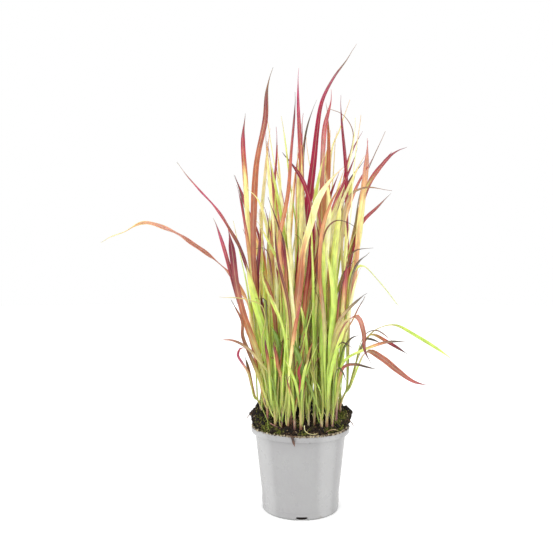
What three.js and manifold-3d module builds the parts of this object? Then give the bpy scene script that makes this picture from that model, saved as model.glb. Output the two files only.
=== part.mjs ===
// Japanese blood grass in a round nursery pot: the pot, its peat root ball and the leafy stems.
// Units are millimetres. +Z is up and the front is towards -Y. The origin is the middle of the
// pot's flat base, so everything stands on z = 0.
import * as THREE from "three";
import { mergeVertices } from "three/addons/utils/BufferGeometryUtils.js";
import Module from "manifold-3d";

const wasm = await Module();
wasm.setup();

// ---- Driving dimensions -------------------------------------------------------------------

// The pot: a one-litre thermoformed pot, 13 cm across the rim.
const RIM_RADIUS = 65;
const POT_HEIGHT = 108;
const LIP_WIDTH = 4;
const LIP_HEIGHT = 7.4;
const WALL = 1.3;
const WALL_TOP_RADIUS = 59.8;
const WALL_FOOT_RADIUS = 50.4;
const FOOT_HEIGHT = 8;
const FOOT_STEP = 0.4;
const BASE_RADIUS = 48.6;
const FOOT_RING_WIDTH = 3.2;
const CHANNEL_HEIGHT = 1.6;
const FLOOR_TOP = 3.4;
const PAD_RADIUS = 16;
const POT_SIDES = 36;

// Drain notches through the corner of the base.
const NOTCH_COUNT = 4;
const NOTCH_WIDTH = 14.6;
const NOTCH_HEIGHT = 4.6;
const NOTCH_REACH = 14;

// The root ball.
const TOUCH_GAP = 0.35;
const SOIL_SIDES = 32;
const SOIL_FRONT_HEIGHT = 107;
const SOIL_BACK_RISE = 24;
const SOIL_OVERHANG = 6.4;
const SOIL_EDGE_INSET = 1.5;
const CLUMP_HEIGHT = 1.7;

// A leafy stem, four-sided and going over into its first blade, and the hole that it stands in.
const STEM_FOOT = [3.6, 3.2];
const STEM_NECK = [3, 2];
const STEM_DEPTH_IN_SOIL = 14;
const STEM_MOUTH_RISE = 3;
const HOLE_GAP = 0.4;
const HOLE_HEADROOM = 4;
const STEM_RISE = 0.4;
const STEM_SPLAY = 1.12;
const STEM_RINGS = [0.4, 0.8];

// A blade: its thickness, the width of its root, the shares of its length over which it widens
// and from where it tapers, and how sharply. It starts some way down inside the stem, and all but
// a stem's first blade then peel off the side of the stem.
const BLADE_THICKNESS = 0.7;
const FIRST_RING_THICKNESS = 1.6;
const BLADE_ROOT_WIDTH = 2.6;
const BLADE_TIP_WIDTH = 1;
const SWELL = [0.02, 0.45];
const PEAK = 0.74;
const TAPER_POWER = 1.3;
const ROLL = 18;
const FIRST_ROOT_RUN = 0.1;
const ROOT_RUN = 0.15;
const PEEL_OFFSET = 2.4;

// A blade gets a ring for each turn that it takes, in radians, and a few more.
const BLADE_RINGS_LEAST = 4;
const BLADE_RINGS_MOST = 13;
const RING_TURN = 0.26;
const TURN_SAMPLES = 60;

// The room that a blade keeps to all else, and to its own stem's other blades. It is bent in
// steps to get there: how far its tip goes and how far its middle bows at each step. Each way
// also takes a little of the other.
const BLADE_CLEARANCE = 0.45;
const SIBLING_CLEARANCE = 0.1;
const BEND_STEPS = 14;
const TIP_STEP = 4;
const BOW_STEP = 3;
const TIP_WITH_BOW = 0.7;
const BOW_WITH_TIP = 0.5;
const DEPTH_POWER = 1.3;

// The front drawing below is a view in perspective: it is seen from this standpoint, and its
// [x, z] points are sizes in the plane y = 0. Depth moves a point along its line of sight.
const STANDPOINT = new THREE.Vector3(-31.6, -820, 305);

// Colours of the leaves by habit, of the pot and of the peat.
const HABITS = {
  crimson: "#9c2f45",
  maroon: "#6f2c36",
  rose: "#a9525a",
  copper: "#a5664c",
  lemon: "#d9d060",
  lime: "#9fbf3c",
  olive: "#7c8c3a",
  dried: "#7d6a58",
};
const POT_COLOUR = "#bfbfbd";
const SOIL_COLOUR = "#2b2019";

// Leafy stems drawn from the front. root is the stem's [x, y] in the soil. collar is where the
// stem ends and its first blade goes on: [x, z, depth]. Each leaf is
// [habit, width, turn, leaves the stem at, depth of its tip, points up to the tip], and where it
// differs from the rest its roll and its peak. turn is in degrees, 0 with the blade's face to the
// front and 90 with its edge to the front. roll is how far it twists by its tip, and peak is how
// far along it starts to taper.
const DRAWN_STEMS = [
  { root: [-25, -41], collar: [-23, 143, -43], leaves: [
    ["lemon", 9.5, 10, 1, -66,
      [[-10, 234], [0, 300], [5, 340], [14, 373], [24, 408], [40, 433], [59, 452]]],
    ["lime", 6, 25, 0.8, -40, [[-16, 227], [-16, 274], [-22, 314], [-38, 343], [-59, 380]]],
    ["dried", 4, 60, 0.35, -66, [[-40, 173], [-56, 193], [-71, 209], [-91, 219], [-111, 219]]],
  ] },
  { root: [-17, -43], collar: [-15, 145, -44], leaves: [
    ["copper", 6, 10, 1, -24, [[-7, 241], [0, 320], [1, 387], [0, 493], [-2, 540], [-2, 582]]],
    ["maroon", 5.5, 20, 0.7, -8,
      [[-15, 234], [-26, 314], [-27, 354], [-16, 417], [-10, 486], [-7, 550]]],
    ["lime", 6, 50, 0.5, -58, [[-19, 214], [-24, 241], [-38, 274], [-52, 312]]],
  ] },
  { root: [-9, -44], collar: [-9, 147, -45], leaves: [
    ["lime", 6.5, 15, 1, -34, [[-7, 234], [-12, 287], [-14, 340], [-11, 396]]],
    ["copper", 5.5, 30, 0.75, -48, [[-11, 227], [-16, 274], [-28, 324], [-34, 379]]],
  ] },
  { root: [-1, -45], collar: [-1, 150, -46], leaves: [
    ["crimson", 9.5, 5, 1, 0,
      [[-3, 247], [0, 324], [8, 380], [16, 453], [22, 500], [30, 540], [45, 569], [63, 593],
        [75, 614]], { peak: 0.5 }],
    ["maroon", 5.5, 20, 0.8, -54, [[4, 234], [12, 294], [21, 330], [25, 354], [20, 380]]],
    ["olive", 5, 35, 0.5, -60, [[2, 214], [8, 247], [12, 274]]],
  ] },
  { root: [3, -24], collar: [5, 161, -25], leaves: [
    ["rose", 4, 30, 1, 22, [[6, 254], [9, 327], [4, 407], [2, 473], [4, 522]]],
    ["crimson", 4.5, 25, 0.8, -12,
      [[12, 260], [17, 327], [16, 391], [5, 431], [-10, 452], [-24, 470]]],
  ] },
  { root: [10, -14], collar: [11, 164, -13], leaves: [
    ["lemon", 7, 10, 1, 14, [[17, 260], [24, 340], [28, 407], [34, 460], [40, 500]]],
    ["crimson", 4, 50, 0.7, 26, [[20, 260], [37, 334], [53, 407], [65, 462], [83, 498]]],
    ["lime", 7, 20, 0.45, -2, [[10, 247], [14, 314], [17, 373], [10, 420]]],
  ] },
  { root: [17, -22], collar: [19, 159, -23], leaves: [
    ["rose", 6.5, 10, 1, -6,
      [[24, 260], [26, 340], [28, 420], [30, 473], [33, 506], [42, 541], [41, 554]]],
    ["lime", 5.5, 25, 0.8, -44, [[20, 254], [29, 327], [40, 377], [50, 409]]],
    ["dried", 4, 65, 0.6, -20, [[29, 274], [40, 340], [54, 407], [69, 440], [85, 459]]],
  ] },
  { root: [25, -42], collar: [26, 124, -44], leaves: [
    ["olive", 5, 35, 1, -56, [[14, 157], [2, 183], [-6, 210], [-10, 227]]],
    ["lime", 7, 15, 0.9, -50, [[29, 207], [32, 274], [30, 334], [33, 377]]],
  ] },
  { root: [32, -41], collar: [35, 145, -43], leaves: [
    ["lime", 9, 10, 1, -40, [[41, 227], [45, 274], [45, 327], [49, 373], [54, 412]]],
    ["copper", 6, 20, 0.8, -52, [[32, 234], [26, 314], [29, 369], [40, 401], [57, 431]]],
    ["olive", 4, 65, 0.55, -62, [[43, 221], [54, 250], [70, 267], [89, 283]]],
  ] },
  { root: [39, -37], collar: [44, 142, -40], leaves: [
    ["rose", 6, 15, 1, -72,
      [[49, 205], [54, 230], [65, 249], [75, 251], [83, 231], [85, 207], [94, 189]], { roll: 60 }],
    ["crimson", 4.5, 60, 0.75, -74, [[57, 185], [73, 189], [87, 186], [102, 182]]],
    ["lime", 4, 60, 0.9, -60, [[59, 191], [83, 206], [114, 217], [142, 218]]],
  ] },
  { root: [34, -24], collar: [39, 159, -25], leaves: [
    ["copper", 6, 15, 1, 6, [[38, 260], [34, 354], [36, 433], [37, 486], [34, 536]]],
    ["lemon", 7, 15, 0.8, -8, [[49, 247], [57, 294], [61, 340], [59, 387]]],
    ["olive", 4, 60, 0.6, -30, [[47, 234], [55, 287], [61, 316], [71, 338], [97, 343]]],
  ] },
  { root: [45, -14], collar: [51, 162, -15], leaves: [
    ["crimson", 5.5, 15, 1, 8, [[58, 260], [62, 340], [61, 420], [59, 473], [54, 546]]],
    ["lime", 4, 55, 0.7, -28, [[63, 274], [69, 311], [82, 319], [103, 299], [133, 263]]],
    ["dried", 3.6, 60, 0.8, -18, [[58, 287], [57, 354], [65, 412], [86, 424], [122, 419]]],
  ] },
  { root: [52, -4], collar: [65, 159, -10], leaves: [
    ["lime", 5, 50, 1, -34,
      [[85, 218], [103, 235], [126, 239], [152, 227], [183, 209], [206, 193]], { roll: 55 }],
    ["copper", 8.5, 30, 0.92, -52,
      [[89, 205], [109, 197], [130, 181], [150, 167], [170, 161]], { roll: 80, peak: 0.6 }],
    ["maroon", 4, 55, 0.97, -24, [[82, 214], [95, 227], [117, 217], [143, 201]]],
  ] },
  { root: [46, 6], collar: [50, 164, 7], leaves: [
    ["lemon", 5.5, 15, 1, 24, [[61, 247], [71, 314], [81, 377], [87, 440], [89, 489]]],
    ["crimson", 7, 15, 0.8, 10,
      [[62, 260], [74, 340], [86, 417], [103, 444], [122, 466], [142, 477]], { peak: 0.84 }],
    ["maroon", 4, 45, 0.6, 16, [[59, 260], [69, 334], [83, 376], [103, 397], [121, 416]]],
  ] },
  { root: [38, 16], collar: [42, 170, 18], leaves: [
    ["dried", 4, 55, 1, 34, [[54, 274], [69, 354], [82, 420], [98, 466], [113, 498]]],
    ["lemon", 4.5, 35, 0.8, 18, [[46, 274], [42, 354], [41, 473], [53, 502], [66, 540]]],
    ["crimson", 6.5, 20, 0.55, 34,
      [[52, 260], [66, 340], [80, 400], [92, 431], [107, 452], [122, 471]], { peak: 0.84 }],
  ] },
  { root: [22, -4], collar: [26, 167, -3], leaves: [
    ["olive", 4.5, 45, 1, 22, [[34, 274], [50, 354], [65, 460], [69, 497], [55, 521], [36, 529]]],
    ["lemon", 7.5, 10, 0.8, 2, [[29, 274], [33, 340], [37, 400], [34, 447]]],
    ["crimson", 4, 40, 0.5, 30, [[24, 260], [21, 354], [17, 447], [24, 513]]],
  ] },
  { root: [-31, -24], collar: [-32, 146, -26], leaves: [
    ["lemon", 5.5, 10, 1, 2, [[-30, 234], [-32, 314], [-38, 400], [-43, 460], [-46, 496]]],
    ["rose", 4.6, 30, 0.75, 12, [[-34, 234], [-38, 314], [-35, 407], [-32, 460], [-32, 504]]],
    ["maroon", 4.2, 35, 0.5, -46, [[-26, 214], [-20, 274], [-19, 324], [-31, 377], [-43, 411]]],
  ] },
  { root: [-33, -36], collar: [-37, 139, -40], leaves: [
    ["lime", 10, 10, 1, -52, [[-48, 226], [-58, 263], [-64, 292], [-71, 322]]],
    ["crimson", 6.5, 15, 0.8, -48, [[-52, 191], [-72, 247], [-84, 294], [-91, 340], [-96, 368]]],
    ["copper", 4.5, 30, 0.45, -62, [[-55, 173], [-69, 205], [-77, 226], [-77, 245], [-92, 274]]],
  ] },
  { root: [-39, -9], collar: [-41, 154, -10], leaves: [
    ["rose", 8, 10, 1, -2,
      [[-51, 227], [-58, 276], [-63, 360], [-60, 447], [-47, 513], [-44, 553], [-36, 583]]],
    ["lemon", 5, 20, 0.8, -18, [[-40, 247], [-40, 307], [-44, 364], [-56, 407], [-71, 424]]],
    ["maroon", 6.5, 15, 0.6, -30, [[-46, 234], [-56, 294], [-54, 340], [-52, 373]]],
  ] },
  { root: [-43, -22], collar: [-48, 154, -24], leaves: [
    ["crimson", 5.5, 20, 1, -32,
      [[-58, 227], [-67, 300], [-87, 356], [-112, 397], [-140, 428], [-164, 457]]],
    ["copper", 6, 50, 0.85, -22,
      [[-63, 234], [-80, 292], [-113, 328], [-160, 359], [-205, 376], [-242, 361], [-265, 350]],
      { roll: 62 }],
    ["crimson", 5, 25, 0.5, -44, [[-63, 214], [-83, 276], [-101, 338], [-116, 383]]],
  ] },
  { root: [-46, 10], collar: [-51, 162, 11], leaves: [
    ["crimson", 6.5, 15, 1, 22, [[-59, 247], [-65, 327], [-73, 420], [-77, 486], [-73, 522]]],
    ["maroon", 6.5, 20, 0.8, 4, [[-63, 247], [-69, 330], [-76, 387], [-81, 417], [-88, 440]]],
    ["lime", 4, 55, 0.6, -6, [[-65, 234], [-75, 314], [-89, 379]]],
  ] },
  { root: [-52, -2], collar: [-60, 145, -6], leaves: [
    ["dried", 4.5, 40, 1, -16, [[-69, 183], [-73, 198]]],
    ["olive", 3.6, 65, 0.95, -30, [[-71, 178], [-79, 191], [-84, 201], [-79, 211], [-71, 209]]],
  ] },
];

// Leafy stems inside and behind the drawn ones, and slim shoots between those in front: where
// each stands in the soil, how many leaves it has, and the least and most of their sizes.
const INNER = {
  roots: [
    [-22, -10], [-8, -6], [-27, 5], [-12, 10], [3, 2], [-35, 23], [-20, 24], [-4, 22],
    [12, 13], [27, 12], [28, 28], [13, 31], [-3, 38], [-19, 40], [37, 32], [-38, 36],
  ],
  leafCount: 3,
  collarRise: [45, 75],
  height: [190, 340],
  width: [4.5, 8],
  reach: [25, 100],
  habits: ["lime", "lemon", "copper", "lime", "crimson", "lemon", "olive", "rose"],
};
const SHOOTS = {
  roots: [[9, -34], [17, -34], [-13, -29], [45, -27], [-16, -20], [-37, -15]],
  leafCount: 1,
  collarRise: [35, 60],
  height: [110, 230],
  width: [3.4, 5],
  reach: [15, 45],
  habits: ["lime", "olive", "lime", "rose", "copper"],
};
const SEED = 20;

// Their leaves leave the stem one below the other and fan out, in radians, about the way that
// leads out from the middle of the clump. They spread less to the left and right. turn and roll
// are drawn from ranges this wide, in degrees.
const CLUMP_MIDDLE_Y = 8;
const EXIT_STEP = 0.2;
const LEAF_SPREAD = 1;
const SPREAD_PLAY = 0.6;
const SIDEWAYS_SHARE = 0.5;
const TURN_RANGE = 180;
const ROLL_RANGE = 60;
const SHORT_ROLL_RANGE = 80;
const LEAN_POWER = 1.8;
const DROOP = 0.22;
const LEAF_SHARES = [0.3, 0.6, 0.82, 1];

// Every stem also has a short young leaf, low down.
const SHORT = {
  exit: 0.45,
  height: [60, 190],
  width: [3, 5.5],
  reach: [12, 48],
  habits: ["lime", "olive", "lime", "copper", "lime", "dried"],
};

// ---- Helpers ------------------------------------------------------------------------------

const mix = THREE.MathUtils.lerp;
const smooth = THREE.MathUtils.smoothstep;

// A small generator of repeatable random numbers from 0 to 1.
function randomFrom(seed) {
  let state = seed;
  return () => {
    state = (state * 1664525 + 1013904223) % 4294967296;
    return state / 4294967296;
  };
}

// A closed mesh as a manifold-3d solid, and back.
function solid(geometry) {
  const bare = geometry.index ? geometry.toNonIndexed() : geometry.clone();
  bare.deleteAttribute("normal");
  bare.deleteAttribute("uv");
  const merged = mergeVertices(bare, 1e-4);
  return new wasm.Manifold(new wasm.Mesh({
    numProp: 3,
    vertProperties: new Float32Array(merged.attributes.position.array),
    triVerts: new Uint32Array(merged.index.array),
  }));
}

function geometryOf(body) {
  const mesh = body.getMesh();
  const geometry = new THREE.BufferGeometry();
  geometry.setAttribute("position", new THREE.BufferAttribute(mesh.vertProperties, 3));
  geometry.setIndex(new THREE.BufferAttribute(mesh.triVerts, 1));
  geometry.computeVertexNormals();
  return geometry;
}

// A tube through rings of points: each ring goes anticlockwise round the way the tube runs. A
// flat blade's faces are split alike on both sides, so they keep their distance when it twists.
function tube(rings, tip = null) {
  const sides = rings[0].length;
  const points = rings.flat();
  const faces = [];
  for (let k = 0; k + 1 < rings.length; k++) {
    for (let i = 0; i < sides; i++) {
      const a = k * sides + i;
      const b = k * sides + (i + 1) % sides;
      const [c, d] = [a + sides, b + sides];
      if (sides === 4 && i === 2) faces.push([a, b, c], [b, d, c]);
      else faces.push([a, b, d], [a, d, c]);
    }
  }
  for (let i = 1; i + 1 < sides; i++) faces.push([0, i + 1, i]);
  const last = (rings.length - 1) * sides;
  if (tip) points.push(tip);
  for (let i = 0; i < sides; i++) {
    if (tip) faces.push([last + i, last + (i + 1) % sides, points.length - 1]);
    else if (i > 0 && i + 1 < sides) faces.push([last, last + i, last + i + 1]);
  }
  const geometry = new THREE.BufferGeometry().setFromPoints(points);
  geometry.setIndex(faces.flat());
  return geometry;
}

// A profile of [radius, height] points turned about the Z axis.
function revolve(profile, sides) {
  const points = profile.map(([r, z]) => new THREE.Vector2(r, z));
  return new THREE.LatheGeometry(points, sides).rotateX(Math.PI / 2);
}

// ---- The pot ------------------------------------------------------------------------------

const LIP_FOOT = POT_HEIGHT - LIP_HEIGHT;
const INNER_RIM_RADIUS = RIM_RADIUS - LIP_WIDTH;

// The outside of the tapered wall at a height.
function wallRadius(z) {
  const foot = WALL_FOOT_RADIUS + FOOT_STEP;
  return mix(foot, WALL_TOP_RADIUS, smooth(z, 18, 30) * (z - 20) / (LIP_FOOT - 20));
}

function buildPot() {
  const outside = [
    [0, 0], [PAD_RADIUS, 0], [PAD_RADIUS + 1.2, CHANNEL_HEIGHT],
    [BASE_RADIUS - FOOT_RING_WIDTH - 1, CHANNEL_HEIGHT], [BASE_RADIUS - FOOT_RING_WIDTH, 0],
    [BASE_RADIUS, 0], [WALL_FOOT_RADIUS - 0.5, 1.2], [WALL_FOOT_RADIUS, 3],
    [WALL_FOOT_RADIUS, FOOT_HEIGHT], [WALL_FOOT_RADIUS + FOOT_STEP, FOOT_HEIGHT + 0.6],
    [WALL_FOOT_RADIUS + FOOT_STEP, 20], [wallRadius(34), 34], [wallRadius(66), 66],
    [WALL_TOP_RADIUS, LIP_FOOT - 1], [RIM_RADIUS - 1.2, LIP_FOOT], [RIM_RADIUS - 0.2, LIP_FOOT + 1],
    [RIM_RADIUS, POT_HEIGHT - 2], [RIM_RADIUS - 0.7, POT_HEIGHT - 0.5],
    [RIM_RADIUS - 2, POT_HEIGHT], [INNER_RIM_RADIUS + 0.6, POT_HEIGHT - 0.6],
    [INNER_RIM_RADIUS, POT_HEIGHT - 2],
  ];
  const inside = [
    [WALL_TOP_RADIUS - WALL, LIP_FOOT - 3], [wallRadius(66) - WALL, 66], [wallRadius(34) - WALL, 34],
    [WALL_FOOT_RADIUS + FOOT_STEP - WALL, 20], [WALL_FOOT_RADIUS - WALL, FLOOR_TOP + 3],
    [WALL_FOOT_RADIUS - WALL - 3, FLOOR_TOP], [0, FLOOR_TOP],
  ];
  let pot = solid(revolve([...outside, ...inside], POT_SIDES));
  const notch = new THREE.BoxGeometry(NOTCH_WIDTH, NOTCH_REACH, NOTCH_HEIGHT * 2);
  for (let i = 0; i < NOTCH_COUNT; i++) {
    const place = notch.clone().translate(0, -WALL_FOOT_RADIUS, 0);
    place.rotateZ(i * 2 * Math.PI / NOTCH_COUNT);
    pot = pot.subtract(solid(place));
  }
  return pot;
}

// ---- The root ball ------------------------------------------------------------------------

// The height of the peat: level with the rim in front, mounded behind, and clumpy all over.
function soilTop(x, y) {
  const back = THREE.MathUtils.clamp((y + 60) / 105, 0, 1);
  const rise = SOIL_BACK_RISE * back * (1.5 - 0.5 * back);
  const shoulder = 3 * (x / RIM_RADIUS) ** 2 * smooth(y, -40, 0);
  const clumps = Math.sin(0.23 * x + 1.3) * Math.cos(0.19 * y) + 0.7 * Math.sin(0.41 * x - 0.33 * y);
  return SOIL_FRONT_HEIGHT + rise + shoulder + CLUMP_HEIGHT * clumps * smooth(y, -58, -40);
}

// The outline of the ball from its foot up at one bearing. In front it stays inside the rim, and
// at the sides and behind it spills over the rim, clear of it.
function soilOutline(angle) {
  const wall = (z) => wallRadius(z) - WALL - TOUCH_GAP - 0.2;
  const rim = INNER_RIM_RADIUS - SOIL_EDGE_INSET;
  const spill = THREE.MathUtils.clamp((Math.sin(angle) + 0.5) / 0.5, 0, 1);
  const lift = smooth(spill, 0, 0.5);
  const lumps = 1 + 0.14 * Math.sin(5 * angle + 0.6) + 0.1 * Math.sin(11 * angle);
  const out = SOIL_OVERHANG * smooth(spill, 0.5, 1) * lumps;
  const edge = soilTop(58 * Math.cos(angle), 58 * Math.sin(angle));
  return [
    [wall(10) - 4, FLOOR_TOP + TOUCH_GAP], [wall(10) - 0.6, FLOOR_TOP + 5], [wall(20) - 0.3, 20],
    [wall(34), 34], [wall(66), 66], [wall(LIP_FOOT - 3) - 0.2, LIP_FOOT - 3],
    [rim, mix(103.4, POT_HEIGHT + 0.6, lift)],
    [rim + out * 0.8, mix(104.6, Math.min(POT_HEIGHT + 4, edge - 3), lift)],
    [rim + out * 1.15 - 0.6 * (1 - lift), mix(105.8, edge - 5 * smooth(spill, 0.3, 1) - 1, lift)],
    [57 + out * 0.8, edge],
  ];
}

function buildSoil() {
  const rings = soilOutline(0).map(() => []);
  const inner = [50, 42, 33, 23, 12];
  inner.forEach(() => rings.push([]));
  for (let i = 0; i < SOIL_SIDES; i++) {
    const angle = (i + 0.5) * 2 * Math.PI / SOIL_SIDES;
    const [c, s] = [Math.cos(angle), Math.sin(angle)];
    const top = inner.map((r) => [r, soilTop(r * c, r * s)]);
    [...soilOutline(angle), ...top].forEach(([r, z], k) => {
      rings[k].push(new THREE.Vector3(r * c, r * s, z));
    });
  }
  return solid(tube(rings, new THREE.Vector3(0, 0, soilTop(0, 0))));
}

// ---- The leafy stems ----------------------------------------------------------------------

// The same spot in the front view, nearer or farther by some depth.
function alongSight(point, depth) {
  const scale = (point.y + depth - STANDPOINT.y) / (point.y - STANDPOINT.y);
  return point.clone().sub(STANDPOINT).multiplyScalar(scale).add(STANDPOINT);
}

function drawnPoint([x, z], depth) {
  return alongSight(new THREE.Vector3(x, 0, z), depth);
}

// A stem: straight in the soil, then on a curve that leaves it upright and ends at the collar.
function stemOf([x, y], collar) {
  const mouth = new THREE.Vector3(x, y, soilTop(x, y) + STEM_MOUTH_RISE);
  const foot = mouth.clone().setZ(mouth.z - STEM_MOUTH_RISE - STEM_DEPTH_IN_SOIL);
  const knee = mouth.clone().setZ(mix(mouth.z, collar.z, STEM_RISE));
  return { foot, mouth, curve: new THREE.QuadraticBezierCurve3(mouth, knee, collar) };
}

// A four-cornered ring: width across, thickness the other way, square to the way it runs. turn
// sets which way the width lies, and roll turns the ring about the way it runs.
function ring(centre, along, turn, roll, [width, thickness]) {
  const [t, r] = [turn, roll].map(THREE.MathUtils.degToRad);
  const across = new THREE.Vector3(Math.cos(t), Math.sin(t), 0).projectOnPlane(along).normalize();
  across.applyAxisAngle(along, r);
  const up = along.clone().cross(across);
  return [[1, 1], [-1, 1], [-1, -1], [1, -1]].map(([a, b]) => centre.clone()
    .addScaledVector(across, a * width / 2)
    .addScaledVector(up, b * thickness / 2));
}

// The rings of a stem from its foot nearly to the collar.
function stemRings(stem, turn) {
  const upright = new THREE.Vector3(0, 0, 1);
  const rings = [stem.foot, stem.mouth].map((end) => ring(end, upright, turn, 0, STEM_FOOT));
  for (const t of STEM_RINGS) {
    const size = STEM_FOOT.map((from, i) => mix(from, STEM_NECK[i], t));
    rings.push(ring(stem.curve.getPoint(t), stem.curve.getTangent(t), turn, 0, size));
  }
  return rings;
}

// The plain hole for a stem: the stem's own foot, wider and deeper by a gap.
function holeSolid(stem, turn) {
  const upright = new THREE.Vector3(0, 0, 1);
  const size = STEM_FOOT.map((side) => side + 2 * HOLE_GAP);
  const ends = [stem.foot.z - HOLE_GAP, stem.mouth.z + HOLE_HEADROOM];
  return solid(tube(ends.map((z) => ring(stem.mouth.clone().setZ(z), upright, turn, 0, size))));
}

// How far along the blade each point lies, from 0 at the stem to 1 at the tip.
function shares(points) {
  const lengths = points.map((p, i) => (i ? p.distanceTo(points[i - 1]) : 0));
  let run = 0;
  const total = lengths.reduce((a, b) => a + b, 0);
  return lengths.map((length) => (run += length) / total);
}

// Ways to bend a blade deeper or nearer until it is clear of the others, the least bend first:
// [how far its tip goes, how far its middle bows].
const BENDS = [[0, 0]];
for (let step = 1; step <= BEND_STEPS; step++) {
  for (const side of [1, -1]) {
    for (const bow of [0, 1, -1]) {
      const tip = side * step * TIP_STEP + bow * TIP_WITH_BOW;
      BENDS.push([tip, bow * step * BOW_STEP + side * step * BOW_WITH_TIP]);
    }
  }
}

// The curve of a blade through its points. The first blade of a stem goes on from the collar. The
// others start inside the stem and peel off the side that their first point lies on.
function bladeCurve(stem, leaf, [tipShift, bow]) {
  const start = stem.curve.getPoint(leaf.exit);
  const along = shares([start, ...leaf.points]);
  const bent = leaf.points.map((p, i) => {
    const u = along[i + 1];
    return alongSight(p, tipShift * u ** DEPTH_POWER + bow * 4 * u * (1 - u));
  });
  const below = stem.curve.getPoint(leaf.exit - (leaf.exit < 1 ? ROOT_RUN : FIRST_ROOT_RUN));
  if (leaf.exit < 1) {
    const aside = bent[0].clone().sub(stem.curve.getPoint(1)).setZ(0).normalize();
    start.addScaledVector(aside, PEEL_OFFSET);
  }
  return new THREE.CatmullRomCurve3([below, start, ...bent]);
}

// The width of a blade: slim where it leaves the stem, widest at its peak, pointed.
function bladeWidth(u, { width, peak }) {
  const swell = mix(BLADE_ROOT_WIDTH, width, smooth(u, ...SWELL));
  return mix(swell, BLADE_TIP_WIDTH, Math.max(0, (u - peak) / (1 - peak)) ** TAPER_POWER);
}

// The blade's solid, or for a test of clearance the blade made wider by extra all round, from
// the ring numbered from.
function bladeSolid(stem, curve, leaf, extra = 0, from = 0) {
  const line = curve.getSpacedPoints(TURN_SAMPLES);
  let bending = 0;
  for (let i = 2; i < line.length; i++) {
    const before = line[i - 1].clone().sub(line[i - 2]);
    bending += before.angleTo(line[i].clone().sub(line[i - 1]));
  }
  const count = Math.min(BLADE_RINGS_MOST, BLADE_RINGS_LEAST + Math.floor(bending / RING_TURN));
  const first = leaf.exit === 1;
  const rings = first && extra === 0 ? stemRings(stem, leaf.turn) : [];
  for (let k = from; k < count; k++) {
    const u = k / count;
    const thickness = first && k === 0 ? FIRST_RING_THICKNESS : BLADE_THICKNESS;
    const size = [bladeWidth(u, leaf) + 2 * extra, thickness + 2 * extra];
    rings.push(ring(curve.getPointAt(u), curve.getTangentAt(u), leaf.turn, leaf.roll * u, size));
  }
  return solid(tube(rings, curve.getPointAt(1)));
}

// The drawn stems, with each blade's depth spread from its stem's to its tip's.
function drawnTiller({ root, collar, leaves }, index) {
  const [x, z, depth] = collar;
  const stem = stemOf(root, drawnPoint([x, z], depth));
  return {
    stem,
    leaves: leaves.map(([habit, width, turn, exit, tipDepth, drawn, own = {}], order) => {
      const start = stem.curve.getPoint(exit);
      const flat = [start.clone().setY(0), ...drawn.map(([a, b]) => new THREE.Vector3(a, 0, b))];
      const along = shares(flat);
      const depths = along.slice(1).map((u) => mix(start.y, tipDepth, u ** DEPTH_POWER));
      const points = drawn.map((p, i) => drawnPoint(p, depths[i]));
      const side = (index + order) % 2 ? 1 : -1;
      const { roll = ROLL, peak = PEAK } = own;
      return { habit, width, exit, peak, points, turn: side * turn, roll: side * roll };
    }),
  };
}

// A blade by rule: it leans one way and droops a little towards its tip.
function freeLeaf(stem, exit, lean, height, reach, sideways, random) {
  const start = stem.curve.getPoint(exit);
  const droop = DROOP * random();
  return LEAF_SHARES.map((u) => new THREE.Vector3(
    start.x + sideways * reach * Math.cos(lean) * u ** LEAN_POWER,
    start.y + reach * Math.sin(lean) * u ** LEAN_POWER,
    start.z + height * (u - droop * u ** 3),
  ));
}

// A stem by rule: its blades spread out to all sides, but less to the left and right.
function ruledTiller([x, y], kind, random) {
  const between = ([low, high]) => mix(low, high, random());
  const outward = Math.atan2(y - CLUMP_MIDDLE_Y, x);
  const top = soilTop(x, y) + between(kind.collarRise);
  const stem = stemOf([x, y], new THREE.Vector3(x * STEM_SPLAY, y * STEM_SPLAY, top));
  const leaves = Array.from({ length: kind.leafCount }, (_, order) => {
    const exit = 1 - order * EXIT_STEP;
    const lean = outward + (order - 1 + (random() - 0.5) * SPREAD_PLAY) * LEAF_SPREAD;
    const points = freeLeaf(stem, exit, lean, between(kind.height), between(kind.reach),
      SIDEWAYS_SHARE, random);
    return {
      habit: kind.habits[Math.floor(random() * kind.habits.length)],
      width: between(kind.width),
      peak: PEAK,
      turn: (random() - 0.5) * TURN_RANGE,
      roll: (random() - 0.5) * ROLL_RANGE,
      exit,
      points,
    };
  });
  return { stem, leaves };
}

function shortLeaf(stem, random) {
  const between = ([low, high]) => mix(low, high, random());
  const lean = random() * 2 * Math.PI;
  return {
    habit: SHORT.habits[Math.floor(random() * SHORT.habits.length)],
    width: between(SHORT.width),
    peak: PEAK,
    turn: (random() - 0.5) * TURN_RANGE,
    roll: (random() - 0.5) * SHORT_ROLL_RANGE,
    exit: SHORT.exit,
    points: freeLeaf(stem, SHORT.exit, lean, between(SHORT.height), between(SHORT.reach), 1, random),
  };
}

// ---- Assembly -----------------------------------------------------------------------------

function piece(name, body, colour, roughness) {
  const material = new THREE.MeshStandardMaterial({ color: colour, roughness, metalness: 0 });
  const mesh = new THREE.Mesh(geometryOf(body), material);
  mesh.name = name;
  return mesh;
}

const random = randomFrom(SEED);
const tillers = [
  ...DRAWN_STEMS.map(drawnTiller),
  ...INNER.roots.map((root) => ruledTiller(root, INNER, random)),
  ...SHOOTS.roots.map((root) => ruledTiller(root, SHOOTS, random)),
];
for (const { stem, leaves } of tillers) leaves.push(shortLeaf(stem, random));

let soil = buildSoil();
for (const { stem, leaves } of tillers) soil = soil.subtract(holeSolid(stem, leaves[0].turn));

const pot = buildPot();
const bodies = tillers.map(({ stem, leaves }) => solid(tube(stemRings(stem, leaves[0].turn))));

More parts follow.
